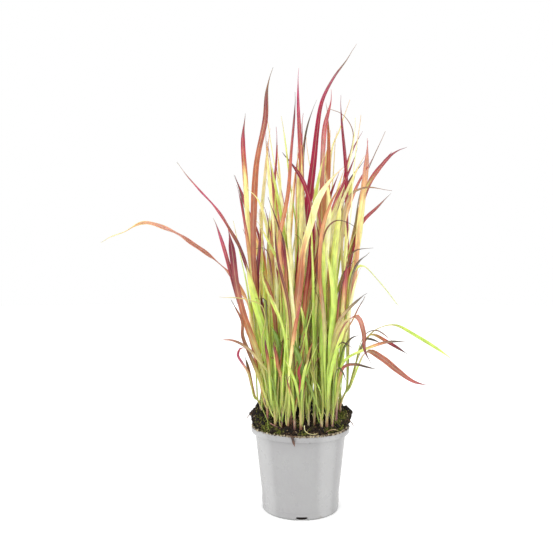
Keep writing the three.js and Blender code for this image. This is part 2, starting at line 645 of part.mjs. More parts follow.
// The least bend that takes a blade clear of the pot, the soil and the other stems' bodies, and
// off its own stem's other blades.
function clearBend({ stem }, leaf, index) {
  const others = bodies.filter((_, other) => other !== index);
  const around = wasm.Manifold.compose([pot, soil, ...others]);
  return BENDS.find((way) => {
    const curve = bladeCurve(stem, leaf, way);
    const free = bladeSolid(stem, curve, leaf, SIBLING_CLEARANCE, 1);
    if (leaf.exit < 1 && !free.intersect(bodies[index]).isEmpty()) return false;
    return bladeSolid(stem, curve, leaf, BLADE_CLEARANCE).intersect(around).isEmpty();
  });
}

// The first blade of every stem is placed, then the second of each, and so on. A blade that no
// bend clears is left off.
const mostLeaves = Math.max(...tillers.map(({ leaves }) => leaves.length));
for (let order = 0; order < mostLeaves; order++) {
  tillers.forEach((tiller, index) => {
    const leaf = tiller.leaves[order];
    const bend = leaf && clearBend(tiller, leaf, index);
    if (!bend) return;
    const blade = bladeSolid(tiller.stem, bladeCurve(tiller.stem, leaf, bend), leaf);
    bodies[index] = order === 0 ? blade : bodies[index].add(blade);
  });
}

const plant = new THREE.Group();
plant.add(piece("pot", pot, POT_COLOUR, 0.45), piece("root_ball", soil, SOIL_COLOUR, 0.95));
tillers.forEach(({ leaves: [{ habit }] }, index) => {
  const name = "tiller_" + String(index + 1).padStart(2, "0") + "_" + habit;
  plant.add(piece(name, bodies[index], HABITS[habit], 0.6));
});

export default plant;
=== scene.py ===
"""Japanese blood grass in a round nursery pot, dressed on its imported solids.

Sizes in the classes and tables below are millimetres, and meshes are built in metres. +Z is up
and the front is towards -Y. The grass follows the same front drawing and the same rules as the
solids, so each fine blade lies where its plain one does.
"""

from __future__ import annotations

import logging
import math
from dataclasses import dataclass, field
from enum import Enum
from functools import partial

import bmesh
import bpy
import numpy as np
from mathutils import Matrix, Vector, noise

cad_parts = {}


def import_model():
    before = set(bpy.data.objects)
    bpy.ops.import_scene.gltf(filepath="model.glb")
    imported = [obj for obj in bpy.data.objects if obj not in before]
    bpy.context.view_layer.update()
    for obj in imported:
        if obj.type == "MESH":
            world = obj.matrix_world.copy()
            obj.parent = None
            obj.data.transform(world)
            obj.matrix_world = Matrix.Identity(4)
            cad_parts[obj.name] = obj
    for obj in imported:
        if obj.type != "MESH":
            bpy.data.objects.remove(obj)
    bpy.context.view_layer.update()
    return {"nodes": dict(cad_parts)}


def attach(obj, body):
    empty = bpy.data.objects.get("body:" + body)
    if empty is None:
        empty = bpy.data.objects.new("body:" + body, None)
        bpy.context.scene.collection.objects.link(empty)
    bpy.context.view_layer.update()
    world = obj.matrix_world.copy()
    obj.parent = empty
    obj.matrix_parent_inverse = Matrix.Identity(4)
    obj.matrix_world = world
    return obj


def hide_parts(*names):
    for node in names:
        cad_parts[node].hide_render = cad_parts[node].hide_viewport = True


log = logging.getLogger("blood_grass")

MM = 0.001
TURN = 2 * math.pi
BODY = "root"
Point = np.ndarray
Sizes = tuple[float, float]
Place = tuple[float, float, float]
Thing = bpy.types.Object
Mesh = bpy.types.Mesh
Material = bpy.types.Material


# ---- Small sums ----


def mix(a: float, b: float, share: float) -> float:
    """Returns the value a share of the way from a to b."""
    return a + (b - a) * share


def smooth(x: float, low: float, high: float) -> float:
    """Returns 0 below low, 1 above high and a smooth step between."""
    t = min(1.0, max(0.0, (x - low) / (high - low)))
    return t * t * (3 - 2 * t)


def unit(vector: Point) -> Point:
    """Returns the vector at length one."""
    return vector / np.linalg.norm(vector)


def turned(vector: Point, axis: Point, angle: float) -> Point:
    """Turns a vector about a unit axis by an angle in radians."""
    c, s = math.cos(angle), math.sin(angle)
    return vector * c + np.cross(axis, vector) * s + axis * np.dot(axis, vector) * (1 - c)


def spun(x: float, y: float, z: float, bearing: float) -> Place:
    """Turns a point about the Z axis by a bearing in radians."""
    c, s = math.cos(bearing), math.sin(bearing)
    return x * c - y * s, x * s + y * c, z


def path(text: str) -> tuple[tuple[float, ...], ...]:
    """Reads points such as "-10 234, 0 300, 5 340"."""
    return tuple(tuple(map(float, point.split())) for point in text.split(","))


def shares(points: list[Point]) -> Point:
    """Returns how far along each point lies, from 0 at the first to 1 at the last."""
    run = np.cumsum([0.0, *(np.linalg.norm(b - a) for a, b in zip(points, points[1:]))])
    return run / run[-1]


class Dice:
    """The repeatable random numbers that the ruled stems are drawn with."""

    def __init__(self, seed: int) -> None:
        """Starts the row of numbers at a seed."""
        self.state = seed

    def roll(self) -> float:
        """Returns the next number, from 0 to 1."""
        self.state = (self.state * 1664525 + 1013904223) % 4294967296
        return self.state / 4294967296

    def between(self, limits: Sizes) -> float:
        """Returns the next number, spread over the limits."""
        return mix(*limits, self.roll())

    def spread(self, degrees: float) -> float:
        """Returns the next number as an angle, up to half of degrees to either side."""
        return (self.roll() - 0.5) * degrees

    def pick(self, choices: tuple) -> object:
        """Returns one of the choices by the next number."""
        return choices[int(self.roll() * len(choices))]


# ---- Colour ----


def srgb(code: str) -> Point:
    """Returns a hex colour's three sRGB values from 0 to 1."""
    return np.array([int(code[i:i + 2], 16) / 255 for i in (1, 3, 5)])


def to_linear(values: Point) -> Point:
    """Returns sRGB values as linear light."""
    return np.where(values <= 0.04045, values / 12.92, ((values + 0.055) / 1.055) ** 2.4)


def linear(code: str) -> tuple[float, float, float, float]:
    """Returns a hex colour as linear light with full alpha."""
    r, g, b = to_linear(srgb(code))
    return float(r), float(g), float(b), 1.0


class Tone(Enum):
    """Leaf colours, from the sheaths at the soil up to the dried tips."""

    PURPLE = "#936068"
    PINK = "#c58f84"
    TAN = "#bfa880"
    MOSSY = "#74923f"
    GREEN = "#adbb5c"
    LIME = "#c1dd66"
    SPRING = "#e0eb84"
    LEMON = "#f7f0a2"
    CREAM = "#faf6c4"
    PEACH = "#dfa877"
    COPPER = "#b66a48"
    OLIVE = "#bdb46c"
    RUSSET = "#a96a58"
    ROSE = "#b3565f"
    CRIMSON = "#98193c"
    MAROON = "#7c2c40"
    BROWN = "#875a42"
    STRAW = "#d2c48c"
    MAGENTA = "#b03a66"
    GREY = "#80756a"
    DARK = "#4b3b34"


Ramp = tuple[tuple[float, Tone], ...]


def ramp(stops: str) -> Ramp:
    """Reads stops such as "0 GREEN, 40 LIME, 100 CREAM", in hundredths of the way to the tip."""
    pairs = (stop.split() for stop in stops.split(","))
    return tuple((int(at) / 100, Tone[name]) for at, name in pairs)


def tone_at(stops: Ramp, share: float) -> Point:
    """Reads a ramp of tones.

    Args:
        stops: (share, tone) stops in order.
        share: Where along the blade, 0 at its root and 1 at its tip.

    Returns:
        The sRGB colour there.
    """
    at = [place for place, _ in stops]
    values = np.array([srgb(tone.value) for _, tone in stops])
    return np.array([np.interp(share, at, values[:, i]) for i in range(3)])


class Habit(Enum):
    """How a blade is coloured from its root to its tip, where the drawing says no more."""

    CRIMSON = ramp("0 LIME, 30 SPRING, 56 LEMON, 69 PEACH, 79 CRIMSON, 96 CRIMSON, 100 MAROON")
    MAROON = ramp("0 GREEN, 35 LIME, 58 OLIVE, 72 COPPER, 84 MAROON, 100 DARK")
    ROSE = ramp("0 LIME, 34 SPRING, 60 LEMON, 74 PEACH, 84 ROSE, 95 CRIMSON, 100 MAROON")
    COPPER = ramp("0 GREEN, 25 SPRING, 54 LEMON, 68 PEACH, 80 COPPER, 93 ROSE, 100 BROWN")
    LEMON = ramp("0 GREEN, 16 LIME, 36 SPRING, 52 LEMON, 72 CREAM, 92 LEMON, 100 PEACH")
    LIME = ramp("0 OLIVE, 18 GREEN, 38 LIME, 70 LIME, 90 SPRING, 100 STRAW")
    OLIVE = ramp("0 MOSSY, 30 GREEN, 80 OLIVE, 97 BROWN, 100 DARK")
    DRIED = ramp("0 GREEN, 40 OLIVE, 65 COPPER, 85 BROWN, 100 DARK")


def habits(names: str) -> tuple[Habit, ...]:
    """Reads a row of habits, where one that comes up more often stands in it more often."""
    return tuple(Habit[name] for name in names.split())


# ---- The grass as it is drawn and ruled ----


@dataclass(frozen=True)
class Leaf:
    """A blade of the front drawing.

    width is in millimetres. turn is in degrees, 0 with its face to the front. exit is how far up
    the stem it leaves, tip_depth is the depth of its tip, and drawn are its points (x, z) in the
    front view. roll is how far it twists by its tip, and peak is where it starts to taper. twist
    is how far it turns to and fro along its length, in degrees. A low taper gives it a long thin
    tip.
    """

    width: float
    turn: float
    exit: float
    tip_depth: float
    drawn: tuple[Sizes, ...]
    tones: Ramp
    roll: float = 18
    peak: float = 0.74
    twist: float = 0
    taper: float = 1.7

    @classmethod
    def read(cls, shape: str, colours: str) -> Leaf:
        """Reads a blade from its two lines in a table.

        Args:
            shape: Its width, turn, exit and tip_depth, what else it has by name, then a colon
                and its points.
            colours: Its stops, or the name of its habit.

        Returns:
            The blade.
        """
        numbers, points = shape.split(":")
        sizes, named = numbers.split()[:4], numbers.split()[4:]
        tones = Habit[colours].value if colours in Habit.__members__ else ramp(colours)
        return cls(*map(float, sizes), path(points), tones,
                   **dict(zip(named[::2], map(float, named[1::2]))))


@dataclass(frozen=True)
class Drawn:
    """A drawn stem: its root in the soil, its collar (x, z, depth), and its leaves."""

    root: Sizes
    collar: Place
    leaves: tuple[Leaf, ...]

    @classmethod
    def read(cls, block: str) -> Drawn:
        """Reads a stem from a table: its root and collar, and under them two lines a blade."""
        first, *rows = (row.strip() for row in block.strip().splitlines())
        return cls(*path(first), tuple(map(Leaf.read, rows[::2], rows[1::2])))


@dataclass(frozen=True)
class Ruled:
    """Stems by rule: where they stand, how many leaves each has, and the limits of their sizes."""

    roots: tuple[Sizes, ...]
    leaf_count: int
    collar_rise: Sizes
    height: Sizes
    width: Sizes
    reach: Sizes
    habits: tuple[Habit, ...]


DRAWN_STEMS = tuple(map(Drawn.read, """
stem -25 -41, -23 143 -43
9.4 10 1 -66: -10 234, 0 300, 5 340, 14 373, 24 408, 40 433, 59 452
  0 GREEN, 20 SPRING, 30 LEMON, 38 PEACH, 48 RUSSET, 56 COPPER, 64 PEACH, 71 LEMON, 94 CREAM, 100 PEACH
6 25 0.8 -40: -16 227, -16 274, -22 314, -38 343, -59 380
  LIME
3.4 60 0.35 -66 roll -70: -40 173, -56 193, -71 209, -91 219, -111 219
  0 GREEN, 35 MOSSY, 56 OLIVE, 72 TAN, 84 BROWN, 95 PINK, 100 PINK
stem -17 -43, -15 145 -44
6 10 1 -24: -7 241, 0 320, 1 387, 0 493, -2 540, -2 582
  0 LIME, 35 SPRING, 50 LEMON, 64 LEMON, 72 COPPER, 84 ROSE, 92 MAGENTA, 100 MAGENTA
5.5 20 0.7 -8: -15 234, -26 314, -27 354, -16 417, -10 486, -7 550
  0 OLIVE, 30 SPRING, 48 PEACH, 70 COPPER, 86 ROSE, 93 MAROON, 100 DARK
6 50 0.5 -58: -19 214, -24 241, -38 274, -52 312
  LIME
stem -9 -44, -9 147 -45
6.5 15 1 -34: -7 234, -12 287, -14 340, -11 396
  0 LIME, 40 SPRING, 70 LEMON, 100 PEACH
4.4 30 0.75 -48: -11 227, -16 274, -28 324, -34 379
  0 GREEN, 34 OLIVE, 58 BROWN, 88 MAROON, 100 DARK
stem -1 -45, -1 150 -46
9.5 5 1 0 peak 0.6 taper 1: -3 247, 0 324, 8 380, 16 453, 22 500, 30 540, 45 569, 63 593, 75 614
  0 OLIVE, 20 LIME, 30 COPPER, 42 CRIMSON, 80 CRIMSON, 87 MAGENTA, 93 GREY, 100 BROWN
5.5 20 0.8 -54: 4 234, 12 294, 21 330, 25 354, 20 380
  0 GREEN, 40 OLIVE, 70 COPPER, 100 MAROON
5 35 0.5 -60: 2 214, 8 247, 12 274
  0 MOSSY, 60 GREEN, 100 MOSSY
stem 3 -24, 5 161 -25
4 30 1 22: 6 254, 9 327, 4 407, 2 473, 4 522
  0 LIME, 30 LEMON, 50 OLIVE, 62 COPPER, 80 ROSE, 100 CRIMSON
5.5 20 0.8 -12 peak 0.86: 12 260, 17 327, 16 391, 5 431, -10 452, -24 470
  0 LEMON, 35 COPPER, 50 CRIMSON, 90 CRIMSON, 95 MAROON, 100 DARK
stem 10 -14, 11 164 -13
7 10 1 14: 17 260, 24 340, 28 407, 34 460, 40 500
  LEMON
4 50 0.7 26 roll -60 peak 0.84: 20 260, 37 334, 53 407, 65 462, 83 498
  0 LIME, 40 LEMON, 62 CRIMSON, 90 ROSE, 100 MAROON
7 20 0.45 -2: 10 247, 14 314, 17 373, 10 420
  LIME
stem 17 -22, 19 159 -23
6.5 10 1 -6 peak 0.84: 24 260, 26 340, 28 420, 30 473, 33 506, 42 541, 41 554
  0 LIME, 25 LEMON, 42 LEMON, 54 OLIVE, 64 COPPER, 78 PINK, 92 ROSE, 100 ROSE
5.5 25 0.8 -44: 20 254, 29 327, 40 377, 50 409
  LIME
4 65 0.6 -20 roll -60 peak 0.84: 29 274, 40 340, 54 407, 69 440, 85 459
  0 GREEN, 40 OLIVE, 62 MAROON, 90 MAROON, 100 DARK
stem 25 -42, 26 124 -44
5 35 1 -56: 14 157, 2 183, -6 210, -10 227
  0 GREEN, 50 MOSSY, 100 MOSSY
7 15 0.9 -50: 29 207, 32 274, 30 334, 33 377
  LIME
stem 32 -41, 35 145 -43
9 10 1 -40: 41 227, 45 274, 45 327, 49 373, 54 412
  0 LIME, 50 LIME, 80 SPRING, 100 LEMON
6 20 0.8 -52: 32 234, 26 314, 29 369, 40 401, 57 431
  0 GREEN, 25 LIME, 45 TAN, 60 COPPER, 80 PEACH, 100 COPPER
4.6 65 0.55 -62 roll -60: 43 221, 54 250, 70 267, 89 283
  0 GREEN, 50 OLIVE, 80 TAN, 100 DARK
stem 39 -37, 44 142 -40
6.4 15 1 -72 roll 60: 49 205, 54 230, 65 249, 75 251, 83 231, 85 207, 94 189
  0 GREEN, 30 OLIVE, 48 TAN, 58 RUSSET, 66 PINK, 84 RUSSET, 93 MAROON, 100 DARK
3.8 60 0.75 -74 roll -60: 57 185, 73 189, 87 186, 102 182
  0 GREEN, 42 OLIVE, 58 ROSE, 72 BROWN, 84 DARK, 100 DARK
4.6 60 0.9 -60 roll -60: 59 191, 83 206, 114 217, 142 218
  0 GREEN, 45 LIME, 66 SPRING, 74 PEACH, 81 COPPER, 87 GREY, 100 DARK
stem 34 -24, 39 159 -25
6 15 1 6: 38 260, 34 354, 36 433, 37 486, 34 536
  0 LIME, 30 LEMON, 50 LEMON, 64 PEACH, 78 COPPER, 95 COPPER, 100 BROWN
7 15 0.8 -8: 49 247, 57 294, 61 340, 59 387
  0 LIME, 50 SPRING, 100 LEMON
3.2 60 0.6 -30 roll -60: 47 234, 55 287, 61 316, 71 338, 97 343
  0 GREEN, 60 OLIVE, 85 BROWN, 100 DARK
stem 45 -14, 51 162 -15
5.5 15 1 8: 58 260, 62 340, 61 420, 59 473, 54 546
  0 LIME, 35 PEACH, 50 CRIMSON, 75 CRIMSON, 100 MAROON
4 55 0.7 -28 roll -60: 63 274, 69 311, 82 319, 103 299, 133 263
  0 LIME, 40 SPRING, 100 SPRING
3.6 60 0.8 -18 roll -60: 58 287, 57 354, 65 412, 86 424, 122 419
  0 GREEN, 50 OLIVE, 75 TAN, 100 BROWN
stem 52 -4, 65 159 -10
4.6 50 1 -34 roll 55: 85 218, 103 235, 126 239, 152 227, 183 209, 206 193
  0 GREEN, 36 OLIVE, 52 STRAW, 64 LIME, 90 LIME, 100 CREAM
7.5 30 0.92 -52 roll 80 peak 0.6: 89 205, 109 197, 130 181, 150 167, 170 161
  0 GREEN, 26 LIME, 40 TAN, 52 RUSSET, 80 RUSSET, 94 ROSE, 100 MAROON
4.6 55 0.97 -24 roll 60 peak 0.8: 82 214, 95 227, 117 217, 143 201
  0 GREEN, 45 LIME, 62 OLIVE, 74 COPPER, 84 CRIMSON, 100 DARK
stem 46 6, 50 164 7
7.5 15 1 24 peak 0.86: 61 247, 71 314, 81 377, 87 440, 89 489
  0 LIME, 22 COPPER, 32 PINK, 50 PEACH, 64 LEMON, 74 LEMON, 84 PEACH, 96 PINK, 100 ROSE
4.6 15 0.8 10 roll -30 peak 0.9: 62 260, 74 340, 86 417, 103 444, 122 466, 142 477
  0 LIME, 30 SPRING, 60 LEMON, 74 LEMON, 79 OLIVE, 84 RUSSET, 91 ROSE, 98 MAROON
4.6 45 0.6 16 roll -60 peak 0.84: 59 260, 69 334, 83 376, 103 397, 121 416
  0 GREEN, 45 COPPER, 72 CRIMSON, 90 ROSE, 100 GREY
stem 38 16, 42 170 18
4 55 1 34: 54 274, 69 354, 82 420, 98 466, 113 498
  0 GREEN, 50 OLIVE, 80 GREY, 100 BROWN
4.5 35 0.8 18: 46 274, 42 354, 41 473, 53 502, 66 540
  LEMON
6 20 0.55 34 roll -18 peak 0.9: 52 260, 66 340, 80 400, 92 431, 107 452, 122 471
  0 LIME, 35 LEMON, 60 LEMON, 74 RUSSET, 86 ROSE, 100 CRIMSON
stem 22 -4, 26 167 -3
4.5 45 1 22: 34 274, 50 354, 65 460, 69 497, 55 521, 36 529
  0 GREEN, 40 OLIVE, 70 TAN, 100 BROWN
7.5 10 0.8 2: 29 274, 33 340, 37 400, 34 447
  LEMON
4 40 0.5 30: 24 260, 21 354, 17 447, 24 513
  0 GREEN, 50 PEACH, 80 ROSE, 100 MAROON
stem -31 -24, -32 146 -26
5.5 10 1 2: -30 234, -32 314, -38 400, -43 460, -46 496
  0 SPRING, 50 CREAM, 90 LEMON, 100 COPPER
4.6 30 0.75 12: -34 234, -38 314, -35 407, -32 460, -32 504
  0 LIME, 35 LEMON, 60 PEACH, 80 ROSE, 100 CRIMSON
4.2 35 0.5 -46: -26 214, -20 274, -19 324, -31 377, -43 411
  MAROON
stem -33 -36, -37 139 -40
10 10 1 -52: -48 226, -58 263, -64 292, -71 322
  LIME
8 15 0.8 -48 roll -18 peak 0.86: -52 191, -72 247, -84 294, -91 340, -96 368
  0 GREEN, 35 OLIVE, 52 COPPER, 66 RUSSET, 90 MAROON, 100 MAROON
5.4 30 0.45 -62: -55 173, -69 205, -77 226, -77 245, -92 274
  0 GREEN, 40 OLIVE, 58 BROWN, 86 RUSSET, 96 BROWN, 100 DARK
stem -39 -9, -41 154 -10
8 10 1 -2 peak 0.8: -51 227, -58 276, -63 360, -60 447, -47 513, -44 553, -36 583
  0 LIME, 16 LEMON, 30 COPPER, 50 RUSSET, 70 COPPER, 82 RUSSET, 90 MAROON, 94 BROWN, 100 GREY
5 20 0.8 -18: -40 247, -40 307, -44 364, -56 407, -71 424
  0 LIME, 50 CREAM, 100 LEMON
7 15 0.6 -30: -46 234, -56 294, -54 340, -52 373
  0 GREEN, 25 LIME, 40 COPPER, 55 MAROON, 90 MAROON, 100 CRIMSON
stem -43 -22, -48 154 -24
4.4 20 1 -32 roll -30 peak 0.6 twist 40: -58 227, -67 300, -87 356, -112 397, -140 428, -164 457
  0 OLIVE, 25 LIME, 42 BROWN, 55 MAROON, 66 BROWN, 73 ROSE, 88 MAGENTA, 96 PINK, 100 GREY
5.4 50 0.85 -22 roll -75 twist 50: -63 234, -80 292, -113 328, -160 359, -205 376, -242 361, -265 350
  0 LIME, 25 LEMON, 40 PEACH, 52 RUSSET, 66 RUSSET, 76 PINK, 87 PEACH, 94 LEMON, 100 STRAW
4.6 25 0.5 -44 roll -20 peak 0.84: -63 214, -83 276, -101 338, -116 383
  0 OLIVE, 25 COPPER, 45 RUSSET, 66 MAROON, 84 ROSE, 94 MAGENTA, 100 GREY
stem -46 10, -51 162 11
7 15 1 22 peak 0.88: -59 247, -65 327, -73 420, -77 486, -73 522
  0 LIME, 35 SPRING, 60 LEMON, 77 LEMON, 83 COPPER, 88 ROSE, 96 CRIMSON, 100 GREY
3.4 20 0.8 4: -63 247, -69 330, -76 387, -81 417, -88 440
  0 GREEN, 35 SPRING, 50 TAN, 68 RUSSET, 80 BROWN, 88 GREY, 100 DARK
4 55 0.6 -6: -65 234, -75 314, -89 379
  LIME
stem -52 -2, -60 145 -6
4.8 40 1 -16: -69 183, -73 198
  0 OLIVE, 50 COPPER, 80 BROWN, 100 DARK
3.6 65 0.95 -30 roll -60: -71 178, -79 191, -84 201, -79 211, -71 209
  0 GREEN, 40 OLIVE, 60 PINK, 74 MAGENTA, 92 CRIMSON, 100 PINK
""".split("stem")[1:]))

# Fine blades that cross in front of the rest. The first number is that of the stem it grows on.
FRONT_ROWS = """
7: 2.4 30 0.9 -60 roll -50: 20 240, 22 319, 30 354, 38 372, 49 379, 65 375, 74 369
  0 OLIVE, 45 LIME, 66 MAROON, 88 BROWN, 100 DARK
2: 5 20 0.95 -62: -16 220, -18 287, -18 338, -23 361, -30 375
  MAROON
17: 5.5 15 0.9 -58: -31 210, -34 263, -39 287, -50 311
  0 OLIVE, 50 BROWN, 80 COPPER, 100 BROWN
12: 3 25 0.9 -50 roll -30 peak 0.85: 50 240, 53 290, 57 308, 63 318, 72 326
  0 GREEN, 64 OLIVE, 86 BROWN, 100 DARK
13: 3 25 0.85 -40 roll -30 peak 0.85: 64 240, 68 300, 77 324, 92 337
  0 GREEN, 70 OLIVE, 86 GREY, 100 DARK
10: 3 15 0.9 -58: 48 230, 53 284, 59 306
  MAROON
12: 3.4 25 0.8 -72: 54 200, 59 226, 70 247, 77 263, 86 279
  0 GREEN, 60 OLIVE, 84 COPPER, 100 DARK
9: 4.4 20 0.85 -78 roll -50: 38 180, 43 205, 49 231, 59 247, 73 250
  0 GREEN, 40 LIME, 75 OLIVE, 100 STRAW
18: 1.9 20 0.7 -66 roll -80: -46 185, -51 221, -46 247, -51 267, -67 275, -85 278, -108 278
  0 MOSSY, 40 GREEN, 70 OLIVE, 100 STRAW
17: 7 10 0.8 -70: -31 180, -27 205, -32 223, -39 239
  0 GREEN, 50 MOSSY, 100 MOSSY
4: 6.5 10 0.85 -78: 2 178, -3 197, -10 214
  0 MOSSY, 100 MOSSY
18: 4 15 0.85 -70: -40 172, -43 197, -46 214, -47 226
  MAROON
1: 4.4 10 0.8 -72: -25 168, -30 186, -32 202, -36 218
  0 GREEN, 40 OLIVE, 70 COPPER, 100 MAROON
12: 2.8 20 0.9 -74 roll -30: 57 204, 63 216, 70 223, 80 226
  0 GREEN, 60 MOSSY, 86 DARK, 100 DARK
10: 2.8 20 0.9 -78 roll 60: 48 206, 54 218, 61 216, 69 210
  0 GREEN, 55 OLIVE, 78 DARK, 100 DARK
13: 3.8 40 0.97 -40 roll 60: 82 212, 87 221, 96 220, 108 215
  0 GREEN, 50 OLIVE, 66 GREY, 100 DARK
13: 2.2 40 0.95 -34 roll 60: 81 216, 89 230, 102 234, 113 228, 122 220
  0 GREEN, 50 LIME, 75 GREY, 100 BROWN
10: 2.6 20 0.5 -76 roll 60: 48 174, 52 184, 57 178, 61 166
  0 GREEN, 50 MOSSY, 100 DARK
3: 3.8 10 0.7 -80: 0 162, -3 178, 2 194
  0 GREEN, 30 COPPER, 70 CRIMSON, 100 COPPER
5: 3.6 10 0.7 -76: 8 186, 12 205, 16 217
  0 GREEN, 60 OLIVE, 100 COPPER
17: 3 20 0.9 -40 roll -60: -36 240, -38 310, -47 343, -59 342
  0 GREEN, 60 LIME, 90 MAROON, 100 DARK
18: 3 20 0.9 -58 roll -60: -43 215, -45 255, -47 275, -60 276
  0 GREEN, 60 LIME, 90 DARK, 100 DARK
19: 2.6 20 0.95 -20: -41 250, -42 330, -42 381, -46 391
  0 GREEN, 50 LEMON, 80 OLIVE, 100 DARK
3: 3 20 0.95 -50: -6 260, -2 320, 0 354, -7 361
  OLIVE
9: 6 10 0.9 -72: 40 210, 45 274, 41 314, 36 340
  0 LIME, 60 LIME, 100 SPRING
11: 5 20 0.9 -46: 40 260, 36 320, 29 364, 24 400, 30 431
  0 LIME, 40 OLIVE, 70 COPPER, 100 ROSE
2: 6 15 0.9 -50: -14 260, -12 314, -15 367, -11 413, -7 444
  0 LIME, 40 LEMON, 90 CREAM, 100 PEACH
16: 5 25 0.9 10: 30 280, 43 380, 59 433, 69 473, 73 516
  0 LIME, 40 LEMON, 90 CREAM, 100 LEMON
21: 5 20 0.9 10: -52 260, -51 367, -48 420, -44 473, -40 502
  0 LIME, 40 LEMON, 80 CREAM, 100 PEACH
13: 6.6 15 0.9 -28 peak 0.84: 65 261, 69 287, 75 327, 79 367, 83 407, 87 453, 90 486
  0 GREEN, 25 TAN, 40 PINK, 60 PEACH, 74 LEMON, 84 PEACH, 96 PINK, 100 ROSE
11: 4.4 25 0.95 -26 roll -30: 44 260, 50 330, 62 386, 78 430, 96 462
  0 LIME, 40 LEMON, 70 CREAM, 82 PEACH, 92 ROSE, 100 CRIMSON
16: 4.2 25 0.95 -4 roll -30: 29 280, 37 340, 53 396, 72 438, 88 468
  0 LIME, 40 LEMON, 80 CREAM, 94 LEMON, 100 PEACH
7: 4 25 0.95 -14 roll -30: 22 270, 30 340, 44 400, 62 440, 76 476
  0 LIME, 40 LEMON, 60 PEACH, 76 ROSE, 94 CRIMSON, 100 DARK
5: 3.2 30 0.9 10 roll -40: 6 270, 5 340, 3 410, 3 460, 9 502, 22 540
  0 LIME, 40 LEMON, 56 PEACH, 72 ROSE, 80 MAROON, 88 DARK, 100 GREY
4: 5 15 0.95 -40 roll -20 peak 0.86: 6 260, 12 330, 14 391, 4 430, -9 451, -23 468
  0 OLIVE, 40 COPPER, 60 CRIMSON, 92 CRIMSON, 97 MAROON, 100 DARK
""".strip().splitlines()
FRONT_WISPS = tuple(
    (int(shape.split(":")[0]), Leaf.read(shape.split(":", 1)[1], colours.strip()))
    for shape, colours in zip(FRONT_ROWS[::2], FRONT_ROWS[1::2])
)

INNER = Ruled(
    roots=((-22, -10), (-8, -6), (-27, 5), (-12, 10), (3, 2), (-35, 23), (-20, 24), (-4, 22),
           (12, 13), (27, 12), (28, 28), (13, 31), (-3, 38), (-19, 40), (37, 32), (-38, 36)),
    leaf_count=3, collar_rise=(45, 75), height=(190, 340), width=(4.5, 8), reach=(25, 100),
    habits=habits("LIME LEMON COPPER LIME CRIMSON LEMON LIME ROSE"),
)
SHOOTS = Ruled(
    roots=((9, -34), (17, -34), (-13, -29), (45, -27), (-16, -20), (-37, -15)),
    leaf_count=1, collar_rise=(35, 60), height=(110, 230), width=(3.4, 5), reach=(15, 45),
    habits=habits("LIME OLIVE LIME ROSE COPPER"),
)


@dataclass(frozen=True)
class Wisps:
    """Slim blades, dry curls and side shoots too fine for the solids, spread over the stems.

    every is how many stems there are to each wisp, and power is how late it leans out.
    """

    every: int
    exit: Sizes
    height: Sizes
    reach: Sizes
    width: Sizes
    droop: Sizes
    power: float
    habits: tuple[Habit, ...]


WISPS = (
    Wisps(1, (0.3, 0.8), (50, 130), (16, 52), (1.8, 3.2), (0, 0.2), 1.15,
          habits("LIME OLIVE LIME MAROON LIME")),
    Wisps(1, (0.25, 0.8), (60, 160), (10, 44), (2, 3.4), (0, 0.15), 1.2,
          habits("LIME DRIED OLIVE LIME OLIVE")),
    Wisps(2, (0.35, 0.95), (70, 190), (14, 62), (2.8, 4.8), (0, 0.2), 1.25,
          habits("LIME OLIVE LEMON LIME LEMON LIME")),
    Wisps(2, (0.6, 1), (150, 270), (18, 70), (3, 5), (0, 0.12), 1.35,
          habits("LEMON LIME LEMON LIME LEMON COPPER")),
    Wisps(3, (0.8, 1), (270, 360), (20, 64), (4, 6), (0, 0.08), 1.5,
          habits("LEMON COPPER LEMON ROSE LEMON")),
    Wisps(4, (0.5, 1), (60, 200), (26, 70), (2, 3.2), (0.4, 0.75), 1.2,
          habits("DRIED OLIVE MAROON")),
    Wisps(1, (0.04, 0.2), (80, 210), (5, 24), (1.5, 2.4), (0, 0.06), 1.2,
          habits("LIME OLIVE DRIED LIME OLIVE")),
)


@dataclass(frozen=True)
class Blade:
    """A blade in place: its sizes, its points in space and its colours."""

    width: float
    turn: float
    exit: float
    roll: float
    points: tuple[Point, ...]
    tones: Ramp
    peak: float = 0.74
    twist: float = 0
    taper: float = 1.7


@dataclass(frozen=True)
class Stem:
    """A stem: the end of its foot in the soil, its mouth at the surface, a knee and its collar."""

    foot: Point
    mouth: Point
    knee: Point
    collar: Point

    def point(self, t: float) -> Point:
        """Returns the point a share t of the way from the mouth to the collar."""
        return (1 - t) ** 2 * self.mouth + 2 * t * (1 - t) * self.knee + t * t * self.collar

    def along(self, t: float) -> Point:
        """Returns the way that the stem runs there."""
        return unit((1 - t) * (self.knee - self.mouth) + t * (self.collar - self.knee))


